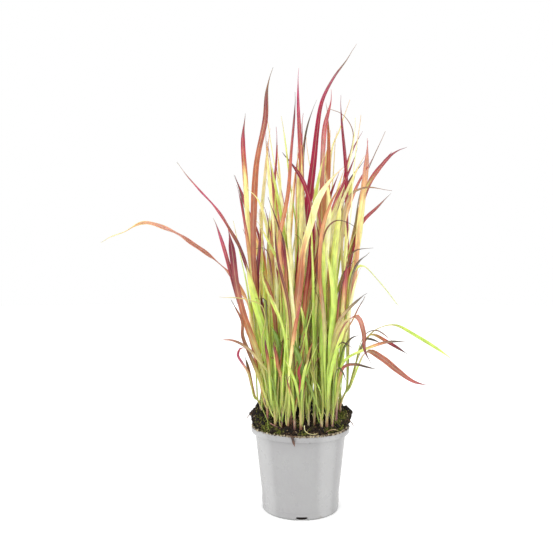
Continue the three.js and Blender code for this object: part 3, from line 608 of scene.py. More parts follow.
class Spline:
    """A centripetal Catmull-Rom curve through points."""

    fineness = 400

    def __init__(self, points: list[Point]) -> None:
        """Takes the points in order, and adds one before and one after them."""
        self.points = [2 * points[0] - points[1], *points, 2 * points[-1] - points[-2]]

    def point(self, t: float) -> Point:
        """Finds a point of the curve.

        Args:
            t: The share of the way, counted in points.

        Returns:
            The point.
        """
        spans = len(self.points) - 3
        index = min(int(t * spans), spans - 1)
        weight = t * spans - index
        p0, p1, p2, p3 = self.points[index:index + 4]
        d0, d1, d2 = (math.sqrt(np.linalg.norm(b - a)) for a, b in ((p0, p1), (p1, p2), (p2, p3)))
        out = ((p1 - p0) / d0 - (p2 - p0) / (d0 + d1) + (p2 - p1) / d1) * d1
        into = ((p2 - p1) / d1 - (p3 - p1) / (d1 + d2) + (p3 - p2) / d2) * d1
        square = -3 * p1 + 3 * p2 - 2 * out - into
        cube = 2 * p1 - 2 * p2 + out + into
        return p1 + out * weight + square * weight ** 2 + cube * weight ** 3

    def even(self, count: int) -> tuple[Point, Point]:
        """Spaces points evenly.

        Args:
            count: The number of points, ends included.

        Returns:
            The points and the unit ways that the curve runs at them.
        """
        fine = np.array([self.point(i / self.fineness) for i in range(self.fineness + 1)])
        run = np.concatenate([[0], np.cumsum(np.linalg.norm(np.diff(fine, axis=0), axis=1))])
        at = np.linspace(0, run[-1], count)
        places = np.stack([np.interp(at, run, fine[:, i]) for i in range(3)], axis=1)
        ways = np.gradient(places, axis=0)
        return places, ways / np.linalg.norm(ways, axis=1, keepdims=True)


@dataclass(frozen=True)
class Ground:
    """The peat's height over the pot's base, level with the rim in front and mounded behind."""

    rim_radius: float = 65
    front_height: float = 107
    back_rise: float = 24
    shoulder_rise: float = 3
    clump_height: float = 1.7

    def top(self, x: float, y: float) -> float:
        """Finds the height of the peat.

        Args:
            x: Where it is, to the right.
            y: Where it is, to the back.

        Returns:
            The height there.
        """
        back = min(1.0, max(0.0, (y + 60) / 105))
        rise = self.back_rise * back * (1.5 - 0.5 * back)
        shoulder = self.shoulder_rise * (x / self.rim_radius) ** 2 * smooth(y, -40, 0)
        clumps = (math.sin(0.23 * x + 1.3) * math.cos(0.19 * y)
                  + 0.7 * math.sin(0.41 * x - 0.33 * y))
        return (self.front_height + rise + shoulder
                + self.clump_height * clumps * smooth(y, -58, -40))


@dataclass
class Growth:
    """The rules that the stems and blades grow by, the same as the solids'."""

    ground: Ground = field(default_factory=Ground)
    standpoint: Place = (-31.6, -820.0, 305.0)
    seed: int = 20
    stem_depth: float = 14
    mouth_rise: float = 3
    stem_rise: float = 0.4
    stem_splay: float = 1.12
    clump_middle: float = 8
    depth_power: float = 1.3
    free_power: float = 1.8
    most_droop: float = 0.22
    peel_offset: float = 2.4
    bend_steps: int = 14
    tip_step: float = 4
    bow_step: float = 3
    tip_with_bow: float = 0.7
    bow_with_tip: float = 0.5
    same_corner: float = 0.05
    exit_step: float = 0.2
    short_exit: float = 0.45
    short_width: Sizes = (3, 5.5)
    short_height: Sizes = (60, 190)
    short_reach: Sizes = (12, 48)
    short_habits: tuple[Habit, ...] = habits("LIME OLIVE LIME LIME LIME COPPER")

    def along_sight(self, point: Point, depth: float) -> Point:
        """Returns the same spot in the front view, nearer or farther by some depth."""
        eye = np.array(self.standpoint)
        return eye + (point - eye) * ((point[1] + depth - eye[1]) / (point[1] - eye[1]))

    def drawn_point(self, at: Sizes, depth: float) -> Point:
        """Returns a point of the front drawing at a depth."""
        return self.along_sight(np.array([at[0], 0.0, at[1]]), depth)

    def stem(self, root: Sizes, collar: Point) -> Stem:
        """Grows a stem.

        Args:
            root: Where it stands in the soil.
            collar: Where it ends.

        Returns:
            The stem.
        """
        mouth = np.array([*root, self.ground.top(*root) + self.mouth_rise])
        foot = mouth - [0, 0, self.mouth_rise + self.stem_depth]
        return Stem(foot, mouth, np.array([*root, mix(mouth[2], collar[2], self.stem_rise)]), collar)

    def drawn(self, plan: Drawn, index: int) -> tuple[Stem, list[Blade]]:
        """Grows a drawn stem.

        Args:
            plan: The stem and its leaves as drawn.
            index: Its number, which sets the side that its blades turn to.

        Returns:
            The stem and its blades.
        """
        x, z, depth = plan.collar
        stem = self.stem(plan.root, self.drawn_point((x, z), depth))
        return stem, [self.drawn_blade(stem, leaf, 1 if (index + order) % 2 else -1)
                      for order, leaf in enumerate(plan.leaves)]

    def drawn_blade(self, stem: Stem, leaf: Leaf, side: int) -> Blade:
        """Lays a blade of the front drawing in space.

        Args:
            stem: The stem that it grows from.
            leaf: The blade as drawn.
            side: 1 or -1, the side that it turns to.

        Returns:
            The blade.
        """
        start = stem.point(leaf.exit)
        flat = [start * [1, 0, 1], *(np.array([a, 0.0, b]) for a, b in leaf.drawn)]
        points = tuple(
            self.drawn_point(at, mix(start[1], leaf.tip_depth, u ** self.depth_power))
            for at, u in zip(leaf.drawn, shares(flat)[1:])
        )
        return Blade(leaf.width, side * leaf.turn, leaf.exit, side * leaf.roll, points, leaf.tones,
                     leaf.peak, leaf.twist, leaf.taper)

    def free_points(self, start: Point, lean: float, height: float, reach: float,
                    sideways: float, droop: float, power: float) -> tuple[Point, ...]:
        """Lays a blade by rule: it leans one way and droops a little towards its tip.

        Args:
            start: Where it leaves its stem.
            lean: The bearing that it leans to, in radians.
            height: How far it rises.
            reach: How far it leans out.
            sideways: The share of its reach that it keeps to the left and right.
            droop: How far it sinks again by its tip, as a share of its height.
            power: How late it leans out.

        Returns:
            Its points.
        """
        out = np.array([sideways * reach * math.cos(lean), reach * math.sin(lean), 0])
        return tuple(start + out * u ** power + [0, 0, height * (u - droop * u ** 3)]
                     for u in (0.3, 0.6, 0.82, 1))

    def ruled(self, root: Sizes, kind: Ruled, dice: Dice) -> tuple[Stem, list[Blade]]:
        """Grows a stem by rule.

        Args:
            root: Where it stands.
            kind: The limits of its sizes.
            dice: The row of random numbers.

        Returns:
            The stem and its blades.
        """
        x, y = root
        top = self.ground.top(x, y) + dice.between(kind.collar_rise)
        stem = self.stem(root, np.array([x * self.stem_splay, y * self.stem_splay, top]))
        blades = []
        for order in range(kind.leaf_count):
            exit_at = 1 - order * self.exit_step
            lean = math.atan2(y - self.clump_middle, x) + order - 1 + dice.spread(0.6)
            height, reach = dice.between(kind.height), dice.between(kind.reach)
            points = self.free_points(stem.point(exit_at), lean, height, reach, 0.5,
                                      self.most_droop * dice.roll(), self.free_power)
            tones = dice.pick(kind.habits).value
            width, turn = dice.between(kind.width), dice.spread(180)
            blades.append(Blade(width, turn, exit_at, dice.spread(60), points, tones))
        return stem, blades

    def short(self, stem: Stem, dice: Dice) -> Blade:
        """Grows the short young leaf low on a stem.

        Args:
            stem: The stem that it grows from.
            dice: The row of random numbers.

        Returns:
            The blade.
        """
        lean, tones = dice.roll() * TURN, dice.pick(self.short_habits).value
        width, turn, roll = dice.between(self.short_width), dice.spread(180), dice.spread(80)
        height, reach = dice.between(self.short_height), dice.between(self.short_reach)
        points = self.free_points(stem.point(self.short_exit), lean, height, reach, 1,
                                  self.most_droop * dice.roll(), self.free_power)
        return Blade(width, turn, self.short_exit, roll, points, tones)

    def wisps(self, stem: Stem, index: int) -> list[Blade]:
        """Grows the fine blades that a stem has besides the solids' own.

        Args:
            stem: The stem that they grow from.
            index: Its number, from 0.

        Returns:
            The blades.
        """
        dice = Dice(977 * (index + 1))
        dice.roll()
        made = [self.drawn_blade(stem, leaf, 1) for number, leaf in FRONT_WISPS
                if number == index + 1]
        for kind in WISPS:
            if (index + kind.every // 2) % kind.every:
                continue
            exit_at, lean = dice.between(kind.exit), dice.roll() * TURN
            height, reach = dice.between(kind.height), dice.between(kind.reach)
            points = self.free_points(stem.point(exit_at), lean, height, reach, 0.8,
                                      dice.between(kind.droop), kind.power)
            tones = dice.pick(kind.habits).value
            made.append(Blade(dice.between(kind.width), dice.spread(180), min(exit_at, 0.99),
                              dice.spread(120), points, tones, 0.5))
        return made

    def tillers(self) -> list[tuple[Stem, list[Blade]]]:
        """Grows every stem, in the order of the solids' names.

        Returns:
            The stems, each with all the blades that it would have.
        """
        dice = Dice(self.seed)
        grown = [self.drawn(plan, index) for index, plan in enumerate(DRAWN_STEMS)]
        for kind in (INNER, SHOOTS):
            grown += [self.ruled(root, kind, dice) for root in kind.roots]
        for stem, blades in grown:
            blades.append(self.short(stem, dice))
        return grown

    def bends(self) -> list[Sizes]:
        """Lists the ways that a blade may be bent to keep clear of its neighbours.

        Returns:
            How far its tip goes and how far its middle bows, least bent first.
        """
        return [(0.0, 0.0)] + [
            (side * step * self.tip_step + bow * self.tip_with_bow,
             bow * step * self.bow_step + side * step * self.bow_with_tip)
            for step in range(1, self.bend_steps + 1) for side in (1, -1) for bow in (0, 1, -1)]

    def curve(self, stem: Stem, blade: Blade, bend: Sizes) -> Spline:
        """Bends a blade.

        Args:
            stem: The stem that it grows from.
            blade: The blade before it is bent.
            bend: How far its tip goes and its middle bows.

        Returns:
            The curve that it follows, from inside its stem to its tip.
        """
        tip, bow = bend
        start = stem.point(blade.exit)
        along = shares([start, *blade.points])[1:]
        bent = [self.along_sight(p, tip * u ** self.depth_power + bow * 4 * u * (1 - u))
                for p, u in zip(blade.points, along)]
        below = stem.point(blade.exit - (0.15 if blade.exit < 1 else 0.1))
        if blade.exit < 1:
            start = start + self.peel_offset * unit((bent[0] - stem.collar) * [1, 1, 0])
        return Spline([below, start, *bent])

    def bend_in(self, blade: Blade, corners: Point) -> Sizes | None:
        """Finds how the solid's blade is bent.

        Args:
            blade: The blade before it is bent.
            corners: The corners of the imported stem, in millimetres.

        Returns:
            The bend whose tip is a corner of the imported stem, or None where that stem goes
            without this blade.
        """
        for bend in self.bends():
            tip = self.along_sight(blade.points[-1], bend[0])
            if np.min(np.linalg.norm(corners - tip, axis=1)) < self.same_corner:
                return bend
        return None


# ---- Blender helpers ----

MATH = "ShaderNodeMath"
VECTOR_MATH = "ShaderNodeVectorMath"
JOIN = "ShaderNodeCombineXYZ"
SPLIT = "ShaderNodeSeparateXYZ"
STEP = "ShaderNodeMapRange"
MIX = "ShaderNodeMix"
NOISE = "ShaderNodeTexNoise"
MARK = "ShaderNodeAttribute"
PLACE = "ShaderNodeTexCoord"
BUMP = "ShaderNodeBump"
GIVEN = "NodeGroupInput"
NAMED = "GeometryNodeInputNamedAttribute"
STORE = "GeometryNodeStoreNamedAttribute"
RANDOM = "FunctionNodeRandomValue"
PAINT = "GeometryNodeSetMaterial"
SOFT = {"interpolation_type": "SMOOTHSTEP"}
TIMES, PLUS = {"operation": "MULTIPLY"}, {"operation": "ADD"}
COLOUR = {"data_type": "RGBA", "out": 2}
Socket = bpy.types.NodeSocket


class Row(Enum):
    """What a mesh holds on its points, by Blender's word for one value of it."""

    FLOAT = "value"
    FLOAT_VECTOR = "vector"
    FLOAT_COLOR = "color"


def add_node(tree: bpy.types.NodeTree, kind: str, *values: object, out: int | str = 0,
             links: dict | None = None, **settings: object) -> Socket | None:
    """Adds a node with its settings and what goes into it.

    Args:
        tree: The node tree.
        kind: The node's type.
        values: What goes into its first inputs, in order: another node's output, or a value.
        out: The number or name of the output that is wanted.
        links: What goes into its other inputs, by number or name.
        settings: The node's own properties.

    Returns:
        The output, or None for a node that has none.
    """
    node = tree.nodes.new(kind)
    for key, value in settings.items():
        setattr(node, key, value)
    for key, value in {**dict(enumerate(values)), **(links or {})}.items():
        if isinstance(value, Socket):
            tree.links.new(value, node.inputs[key])
        else:
            node.inputs[key].default_value = value
    return node.outputs[out] if node.outputs else None


def grain(scale: float, detail: float, rough: float) -> dict[str, float]:
    """Returns what noise is given: its waves a metre, its detail and its roughness."""
    return {"Scale": scale, "Detail": detail, "Roughness": rough}


def new_object(name: str, mesh: Mesh) -> Thing:
    """Links a mesh to the scene.

    Args:
        name: The object's name.
        mesh: Its mesh.

    Returns:
        The object.
    """
    thing = bpy.data.objects.new(name, mesh)
    bpy.context.scene.collection.objects.link(thing)
    return thing


def new_mesh(name: str, points: list | Point, edges: list | None = None,
             faces: list | None = None) -> Mesh:
    """Builds a mesh.

    Args:
        name: The mesh's name.
        points: Its corners in millimetres.
        edges: Its loose edges, if it has any.
        faces: Its faces, if it has any.

    Returns:
        The mesh, in metres.
    """
    mesh = bpy.data.meshes.new(name)
    mesh.from_pydata((np.array(points) * MM).tolist(), edges or [], faces or [])
    mesh.update()
    return mesh


def store(mesh: Mesh, name: str, values: list | Point, kind: Row = Row.FLOAT) -> None:
    """Stores a value on every point of a mesh.

    Args:
        mesh: The mesh.
        name: The attribute's name.
        values: One for each point. Colours are given in sRGB and kept as linear light.
        kind: What the values are.
    """
    rows = np.asarray(values, float)
    if kind is Row.FLOAT_COLOR:
        rows = np.concatenate([to_linear(rows), np.ones((len(rows), 1))], axis=1)
    layer = mesh.attributes.new(name, kind.name, "POINT")
    layer.data.foreach_set(kind.value, rows.astype(np.float32).ravel())


def face_outwards(mesh: Mesh) -> None:
    """Turns every closed shell of a mesh so that its faces look out.

    Args:
        mesh: The mesh.
    """
    shape = bmesh.new()
    shape.from_mesh(mesh)
    bmesh.ops.recalc_face_normals(shape, faces=shape.faces)
    if shape.calc_volume(signed=True) < 0:
        bmesh.ops.reverse_faces(shape, faces=shape.faces)
    shape.to_mesh(mesh)
    shape.free()
    mesh.update()


def round_shell(name: str, ends: tuple, rows: list) -> Mesh:
    """Joins rows of points round the Z axis into one closed shell.

    Args:
        name: The mesh's name.
        ends: The points on the axis that every row starts and ends at.
        rows: The rows in order round the axis, all with the same number of points.

    Returns:
        The shell, with its faces outwards.
    """
    count, long = len(rows), len(rows[0])
    faces = []
    for k in range(count):
        here, after = 2 + k * long, 2 + (k + 1) % count * long
        faces += [(0, after, here), (1, here + long - 1, after + long - 1)]
        faces += [(here + i, after + i, after + i + 1, here + i + 1) for i in range(long - 1)]
    mesh = new_mesh(name, [*ends, *(point for row in rows for point in row)], faces=faces)
    face_outwards(mesh)
    return mesh


def baked(name: str, source: Thing) -> Thing:
    """Turns an object with modifiers into a plain one.

    Args:
        name: The new object's name.
        source: The object, which is removed.

    Returns:
        The plain object, with its faces outwards.
    """
    graph = bpy.context.evaluated_depsgraph_get()
    mesh = bpy.data.meshes.new_from_object(source.evaluated_get(graph),
                                           preserve_all_data_layers=True, depsgraph=graph)
    mesh.name = name
    bpy.data.objects.remove(source)
    face_outwards(mesh)
    return new_object(name, mesh)


class Maker:
    """A group of Geometry Nodes with named inputs that makes pieces from their bases."""

    name = "maker"
    inputs: dict[str, str] = {"Base": "Geometry"}

    def __init__(self, *finishes: Material) -> None:
        """Builds the group.

        Args:
            finishes: What its pieces are made of.
        """
        self.group = bpy.data.node_groups.new(self.name, "GeometryNodeTree")
        self.add = partial(add_node, self.group)
        face = self.group.interface
        self.sockets = {
            name: face.new_socket(name, in_out="INPUT", socket_type="NodeSocket" + kind).identifier
            for name, kind in self.inputs.items()
        }
        face.new_socket("Made", in_out="OUTPUT", socket_type="NodeSocketGeometry")
        self.add("NodeGroupOutput", self.draw(*finishes))

    def draw(self, *finishes: Material) -> Socket:
        """Adds what makes the shape, and returns it."""
        return self.add(GIVEN, out="Base")

    def make(self, name: str, base: Mesh, **values: object) -> Thing:
        """Makes a piece.

        Args:
            name: Its name.
            base: The mesh that it is made from.
            values: What the group's other inputs are given.

        Returns:
            The piece, as a plain mesh.
        """
        source = new_object(name + "_base", base)
        modifier = source.modifiers.new(self.name, "NODES")
        modifier.node_group = self.group
        for key, value in values.items():
            modifier[self.sockets[key]] = value
        return baked(name, source)


# ---- Finishes ----


class Finish:
    """A material made of nodes. What is the same all over is set on the shader itself."""

    name = "finish"
    ior = 1.45
    roughness = 0.5

    def __init__(self) -> None:
        """Makes the material: first its looks, then the shader that takes them."""
        self.material = bpy.data.materials.new(self.name)
        self.material.use_nodes = True
        tree = self.material.node_tree
        tree.nodes.clear()
        self.add = partial(add_node, tree)
        looks = {"IOR": self.ior, "Roughness": self.roughness, **self.looks()}
        self.add("ShaderNodeOutputMaterial", self.add("ShaderNodeBsdfPrincipled", links=looks))

    def looks(self) -> dict[str, object]:
        """Adds what makes the finish, and returns what goes into the shader's sockets."""
        return {}

    def patches(self, place: Socket, cloud: dict[str, float], limits: Sizes,
                ends: Sizes = (0, 1)) -> Socket:
        """Returns noise at a place, drawn out to two ends, which it reaches at its limits."""
        return self.add(STEP, self.add(NOISE, place, links=cloud), *limits, *ends, **SOFT)

    def flecked(self, colour: Socket, place: Socket, cloud: dict[str, float], limits: Sizes,
                most: float, fleck: str, within: Socket | float = 1) -> Socket:
        """Returns a colour with flecks over it, which show most where their noise is high."""
        share = self.add(MATH, within, self.patches(place, cloud, limits, (0, most)), **TIMES)
        return self.add(MIX, share, links={6: colour, 7: linear(fleck)}, **COLOUR)


class LeafFinish(Finish):
    """Living grass blade: a waxy skin over thin green and red tissue, so that light from behind
    shows through. The waxy cuticle (IOR 1.45) gives long soft highlights along the veins."""

    name = "grass_blade_living"
    roughness = 0.46

    def looks(self) -> dict[str, object]:
        """Lays edge colour, lengthwise streaks, a pale midrib, fine veins and brown flecks.

        Returns:
            What goes into the shader's sockets.
        """
        add = self.add
        side, half, run, seed = (add(MARK, attribute_name=name, out="Fac")
                                 for name in ("side", "half_width", "run", "seed"))
        tone, edge_tone = (add(MARK, attribute_name=name, out="Color")
                           for name in ("tone", "edge_tone"))
        off = add(MATH, side, operation="ABSOLUTE")
        # Across the blade in metres, and far along it to the same measure, so that streaks are
        # 0.5 to 2 mm wide and many times as long.
        over = add(MATH, side, half, **TIMES)
        streak_at, patch_at = (
            add(JOIN, over, add(MATH, run, share, **TIMES), seed) for share in (0.03, 0.35))
        streaks = add(NOISE, streak_at, links=grain(620, 3, 0.6))
        fine = add(NOISE, streak_at, links=grain(2400, 1, 0.4))
        reach = add(MATH, off, add(MATH, streaks, 0.7, **TIMES), **PLUS)
        edge = add(STEP, reach, 0.55, 1.35, **SOFT)
        colour = add(MIX, edge, links={6: tone, 7: edge_tone}, **COLOUR)
        light = self.patches(patch_at, grain(210, 3, 0.55), (0.3, 0.75), (0.84, 1.16))
        veins = add(STEP, fine, 0.3, 0.7, 0.88, 1.12, **SOFT)
        shade = add(MATH, light, veins, **TIMES)
        colour = add(VECTOR_MATH, colour, shade, **TIMES)
        rib = add(STEP, off, 0.05, 0.13, 0.24, 0, **SOFT)
        colour = add(MIX, rib, links={6: colour, 7: linear("#f3eec4")}, **COLOUR)
        relief = add(MATH, fine, streaks, **PLUS)
        return {
            "Base Color": self.flecked(colour, patch_at, grain(900, 1, 0.5), (0.72, 0.8), 0.3,
                                       "#6b4a2c"),
            "Subsurface Weight": 0.5,
            "Subsurface Radius": (1.0, 0.75, 0.3),
            "Subsurface Scale": 0.0012,
            "Specular IOR Level": 0.35,
            "Normal": add(BUMP, links={"Strength": 0.5, "Distance": 0.00012, "Height": relief}),
        }


class SheathFinish(Finish):
    """Living leaf sheath at the foot of a grass stem: smooth, ribbed lengthwise, and stained pink
    and purple low down. Its thin wax (IOR 1.43) gives a narrow soft highlight."""

    name = "grass_sheath_living"
    ior = 1.43
    roughness = 0.42

    def looks(self) -> dict[str, object]:
        """Lays fine ribs and lengthwise stains.

        Returns:
            What goes into the shader's sockets.
        """
        add = self.add
        run, seed, side = (add(MARK, attribute_name=name, out="Fac")
                           for name in ("run", "seed", "side"))
        tone, edge_tone = (add(MARK, attribute_name=name, out="Color")
                           for name in ("tone", "edge_tone"))
        at = add(JOIN, add(MATH, side, 0.0018, **TIMES), add(MATH, run, 0.05, **TIMES), seed)
        stains = self.patches(at, grain(900, 3, 0.6), (0.42, 0.66))
        colour = add(MIX, stains, links={6: tone, 7: edge_tone}, **COLOUR)
        ribs = add(NOISE, at, links=grain(3600, 1, 0.4))
        shade = add(STEP, ribs, 0.3, 0.7, 0.86, 1.1, **SOFT)
        return {
            "Base Color": add(VECTOR_MATH, colour, shade, **TIMES),
            "Subsurface Weight": 0.15,
            "Subsurface Radius": (1.0, 0.7, 0.4),
            "Subsurface Scale": 0.0008,
            "Normal": add(BUMP, links={"Strength": 0.6, "Distance": 0.00012, "Height": ribs}),
        }


class PotFinish(Finish):
    """Thermoformed polypropylene, light grey: a satin skin (IOR 1.49) that gives broad soft
    highlights, with grey specks of regrind in it and dust and peat stains on it. Upright bands of
    painted highlight and a painted contact shadow along its foot are laid into its colour."""

    name = "polypropylene_satin_grey_thermoformed"
    ior = 1.49

    def looks(self) -> dict[str, object]:
        """Lays specks, painted highlight bands, dirt near the rim and the foot, and a painted shadow
        along the foot's edge.

        Returns:
            What goes into the shader's sockets.
        """
        add = self.add
        at = add(PLACE, out="Object")
        x, y, height = (add(SPLIT, at, out=axis) for axis in range(3))
        cloud = self.patches(at, grain(26, 3, 0.6), (0.3, 0.7))
        colour = add(MIX, cloud, links={6: linear("#a09fa0"), 7: linear("#a3a3a3")}, **COLOUR)
        # Painted highlights: soft, slanting upright bands of lighter grey, four a turn round the wall.
        bearing = add(MATH, x, add(MATH, y, -1.0, **TIMES), operation="ARCTAN2")
        lean = add(MATH, add(MATH, height, 2.2, **TIMES), 1.05, operation="SUBTRACT")
        turns = add(MATH, add(MATH, bearing, 4.0, **TIMES), lean, **PLUS)
        painted_highlight_bands = add(STEP, add(MATH, turns, operation="SINE"), 0.35, 1.0, 0, 0.55, **SOFT)
        colour = add(MIX, painted_highlight_bands, links={6: colour, 7: linear("#bcbcbc")}, **COLOUR)
        colour = self.flecked(colour, at, grain(1300, 1, 0.4), (0.7, 0.76), 0.5, "#8f8f90")
        rim = add(STEP, height, 0.101, 0.108, 0, 1, **SOFT)
        colour = self.flecked(colour, at, grain(330, 4, 0.65), (0.56, 0.7), 0.75, "#6a5d4c", rim)
        foot = add(STEP, height, 0.0, 0.02, 0.7, 0, **SOFT)
        colour = self.flecked(colour, at, grain(140, 4, 0.6), (0.55, 0.75), 0.7, "#8a8175", foot)
        # Painted contact shadow: the wall darkens to grey over its lowest 3 mm, where it stands on the
        # floor.
        painted_contact_shadow = add(STEP, height, 0.0004, 0.0028, 0.6, 0, **SOFT)
        skin = add(NOISE, at, links=grain(900, 2, 0.5))
        return {
            "Base Color": add(MIX, painted_contact_shadow, links={6: colour, 7: linear("#6f736f")}, **COLOUR),
            "Roughness": self.patches(at, grain(60, 3, 0.6), (0.3, 0.7), (0.26, 0.34)),
            "Normal": add(BUMP, links={"Strength": 0.25, "Distance": 0.00008, "Height": skin}),
        }


class PeatFinish(Finish):
    """Damp potting peat, sieved: very rough (IOR 1.4 for its water film), nearly black in the
    hollows and brown on dry crumbs, with moss where it is marked."""

    name = "potting_peat_sieved_damp"
    ior = 1.4
    roughness = 0.92

    def looks(self) -> dict[str, object]:
        """Lays dark and light crumbs, fibre, moss by its mark, and painted shade where that is marked.

        Returns:
            What goes into the shader's sockets.
        """
        add = self.add
        at = add(PLACE, out="Object")
        crumbs = add(NOISE, at, links=grain(420, 4, 0.7))
        tuft = add(NOISE, at, links=grain(700, 3, 0.7))
        colour = add(MIX, add(STEP, crumbs, 0.35, 0.68, **SOFT),
                     links={6: linear("#17110c"), 7: linear("#4a3526")}, **COLOUR)
        colour = self.flecked(colour, at, grain(1500, 2, 0.6), (0.62, 0.75), 0.6, "#8c7458")
        moss = add(MIX, add(STEP, tuft, 0.35, 0.65, **SOFT),
                   links={6: linear("#43501a"), 7: linear("#a3a548")}, **COLOUR)
        cover = add(MATH, add(MARK, attribute_name="moss", out="Fac"),
                    add(STEP, tuft, 0.28, 0.5, **SOFT), **TIMES)
        colour = add(MIX, cover, links={6: colour, 7: moss}, **COLOUR)
        # Painted shade: where it is marked, as on the lumps in the drain notches, the colour is
        # darkened to a fifth for the dark hollow of the notch.
        damp = add(STEP, add(MARK, attribute_name="damp", out="Fac"), 0, 1, 1, 0.2, **SOFT)
        relief = add(MATH, crumbs, tuft, **PLUS)
        return {
            "Base Color": add(VECTOR_MATH, colour, damp, **TIMES),
            "Normal": add(BUMP, links={"Strength": 0.8, "Distance": 0.0009, "Height": relief}),
        }


class CrumbFinish(Finish):
    """Crumbs and litter: dry plant matter and perlite, rough, coloured piece by piece."""

    name = "potting_peat_crumbs_dry"
    ior = 1.4
    roughness = 0.88

    def looks(self) -> dict[str, object]:
        """Takes each piece's own tint and breaks it up with grain.

        Returns:
            What goes into the shader's sockets.
        """
        add = self.add
        crumbs = add(NOISE, add(PLACE, out="Object"), links=grain(1600, 3, 0.6))
        shade = add(STEP, crumbs, 0.3, 0.7, 0.65, 1.2, **SOFT)
        tint = add(MARK, attribute_name="tint", out="Color")
        return {
            "Base Color": add(VECTOR_MATH, tint, shade, **TIMES),
            "Normal": add(BUMP, links={"Strength": 0.6, "Distance": 0.0003, "Height": crumbs}),
        }


class FloorFinish(Finish):
    """Matt pale floor paper, unglazed: no highlight, only soft shadows."""

    name = "paper_matt_white_unglazed"
    roughness = 0.95

    def looks(self) -> dict[str, object]:
        """Sets an even near-white, and returns what goes into the shader's sockets."""
        return {"Base Color": linear("#fbfbfb"), "Specular IOR Level": 0.1,
                "Emission Color": linear("#ffffff"), "Emission Strength": 0.2}


def settle(piece: Thing, finish: Finish | None = None, node: str = "") -> Thing:
    """Gives a piece its place in the frame.

    Args:
        piece: The piece.
        finish: What it is made of, if it hasn't got that yet.
        node: The solid that it stands for, if it stands for one.

    Returns:
        The piece.
    """
    if finish:
        piece.data.materials.clear()
        piece.data.materials.append(finish.material)
    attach(piece, BODY)
    if node:
        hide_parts(node)
    return piece


# ---- The grass ----


@dataclass(frozen=True)
class Rung:
    """A point of a strand: its place, its section's ways, half sizes and fold, and its looks."""

    centre: Point
    across: Point
    lift: Point
    half_width: float
    half_thickness: float
    fold: float
    run: float
    tone: Point
    edge_tone: Point
    sheath: float
    seed: float


# What a spine keeps of its rungs, and the length that each value is counted in.
ROWS = {
    "across": (Row.FLOAT_VECTOR, 1), "lift": (Row.FLOAT_VECTOR, 1), "half_width": (Row.FLOAT, MM),
    "half_thickness": (Row.FLOAT, MM), "fold": (Row.FLOAT, 1), "run": (Row.FLOAT, MM),
    "tone": (Row.FLOAT_COLOR, 1), "edge_tone": (Row.FLOAT_COLOR, 1), "sheath": (Row.FLOAT, 1),
    "seed": (Row.FLOAT, 1),
}


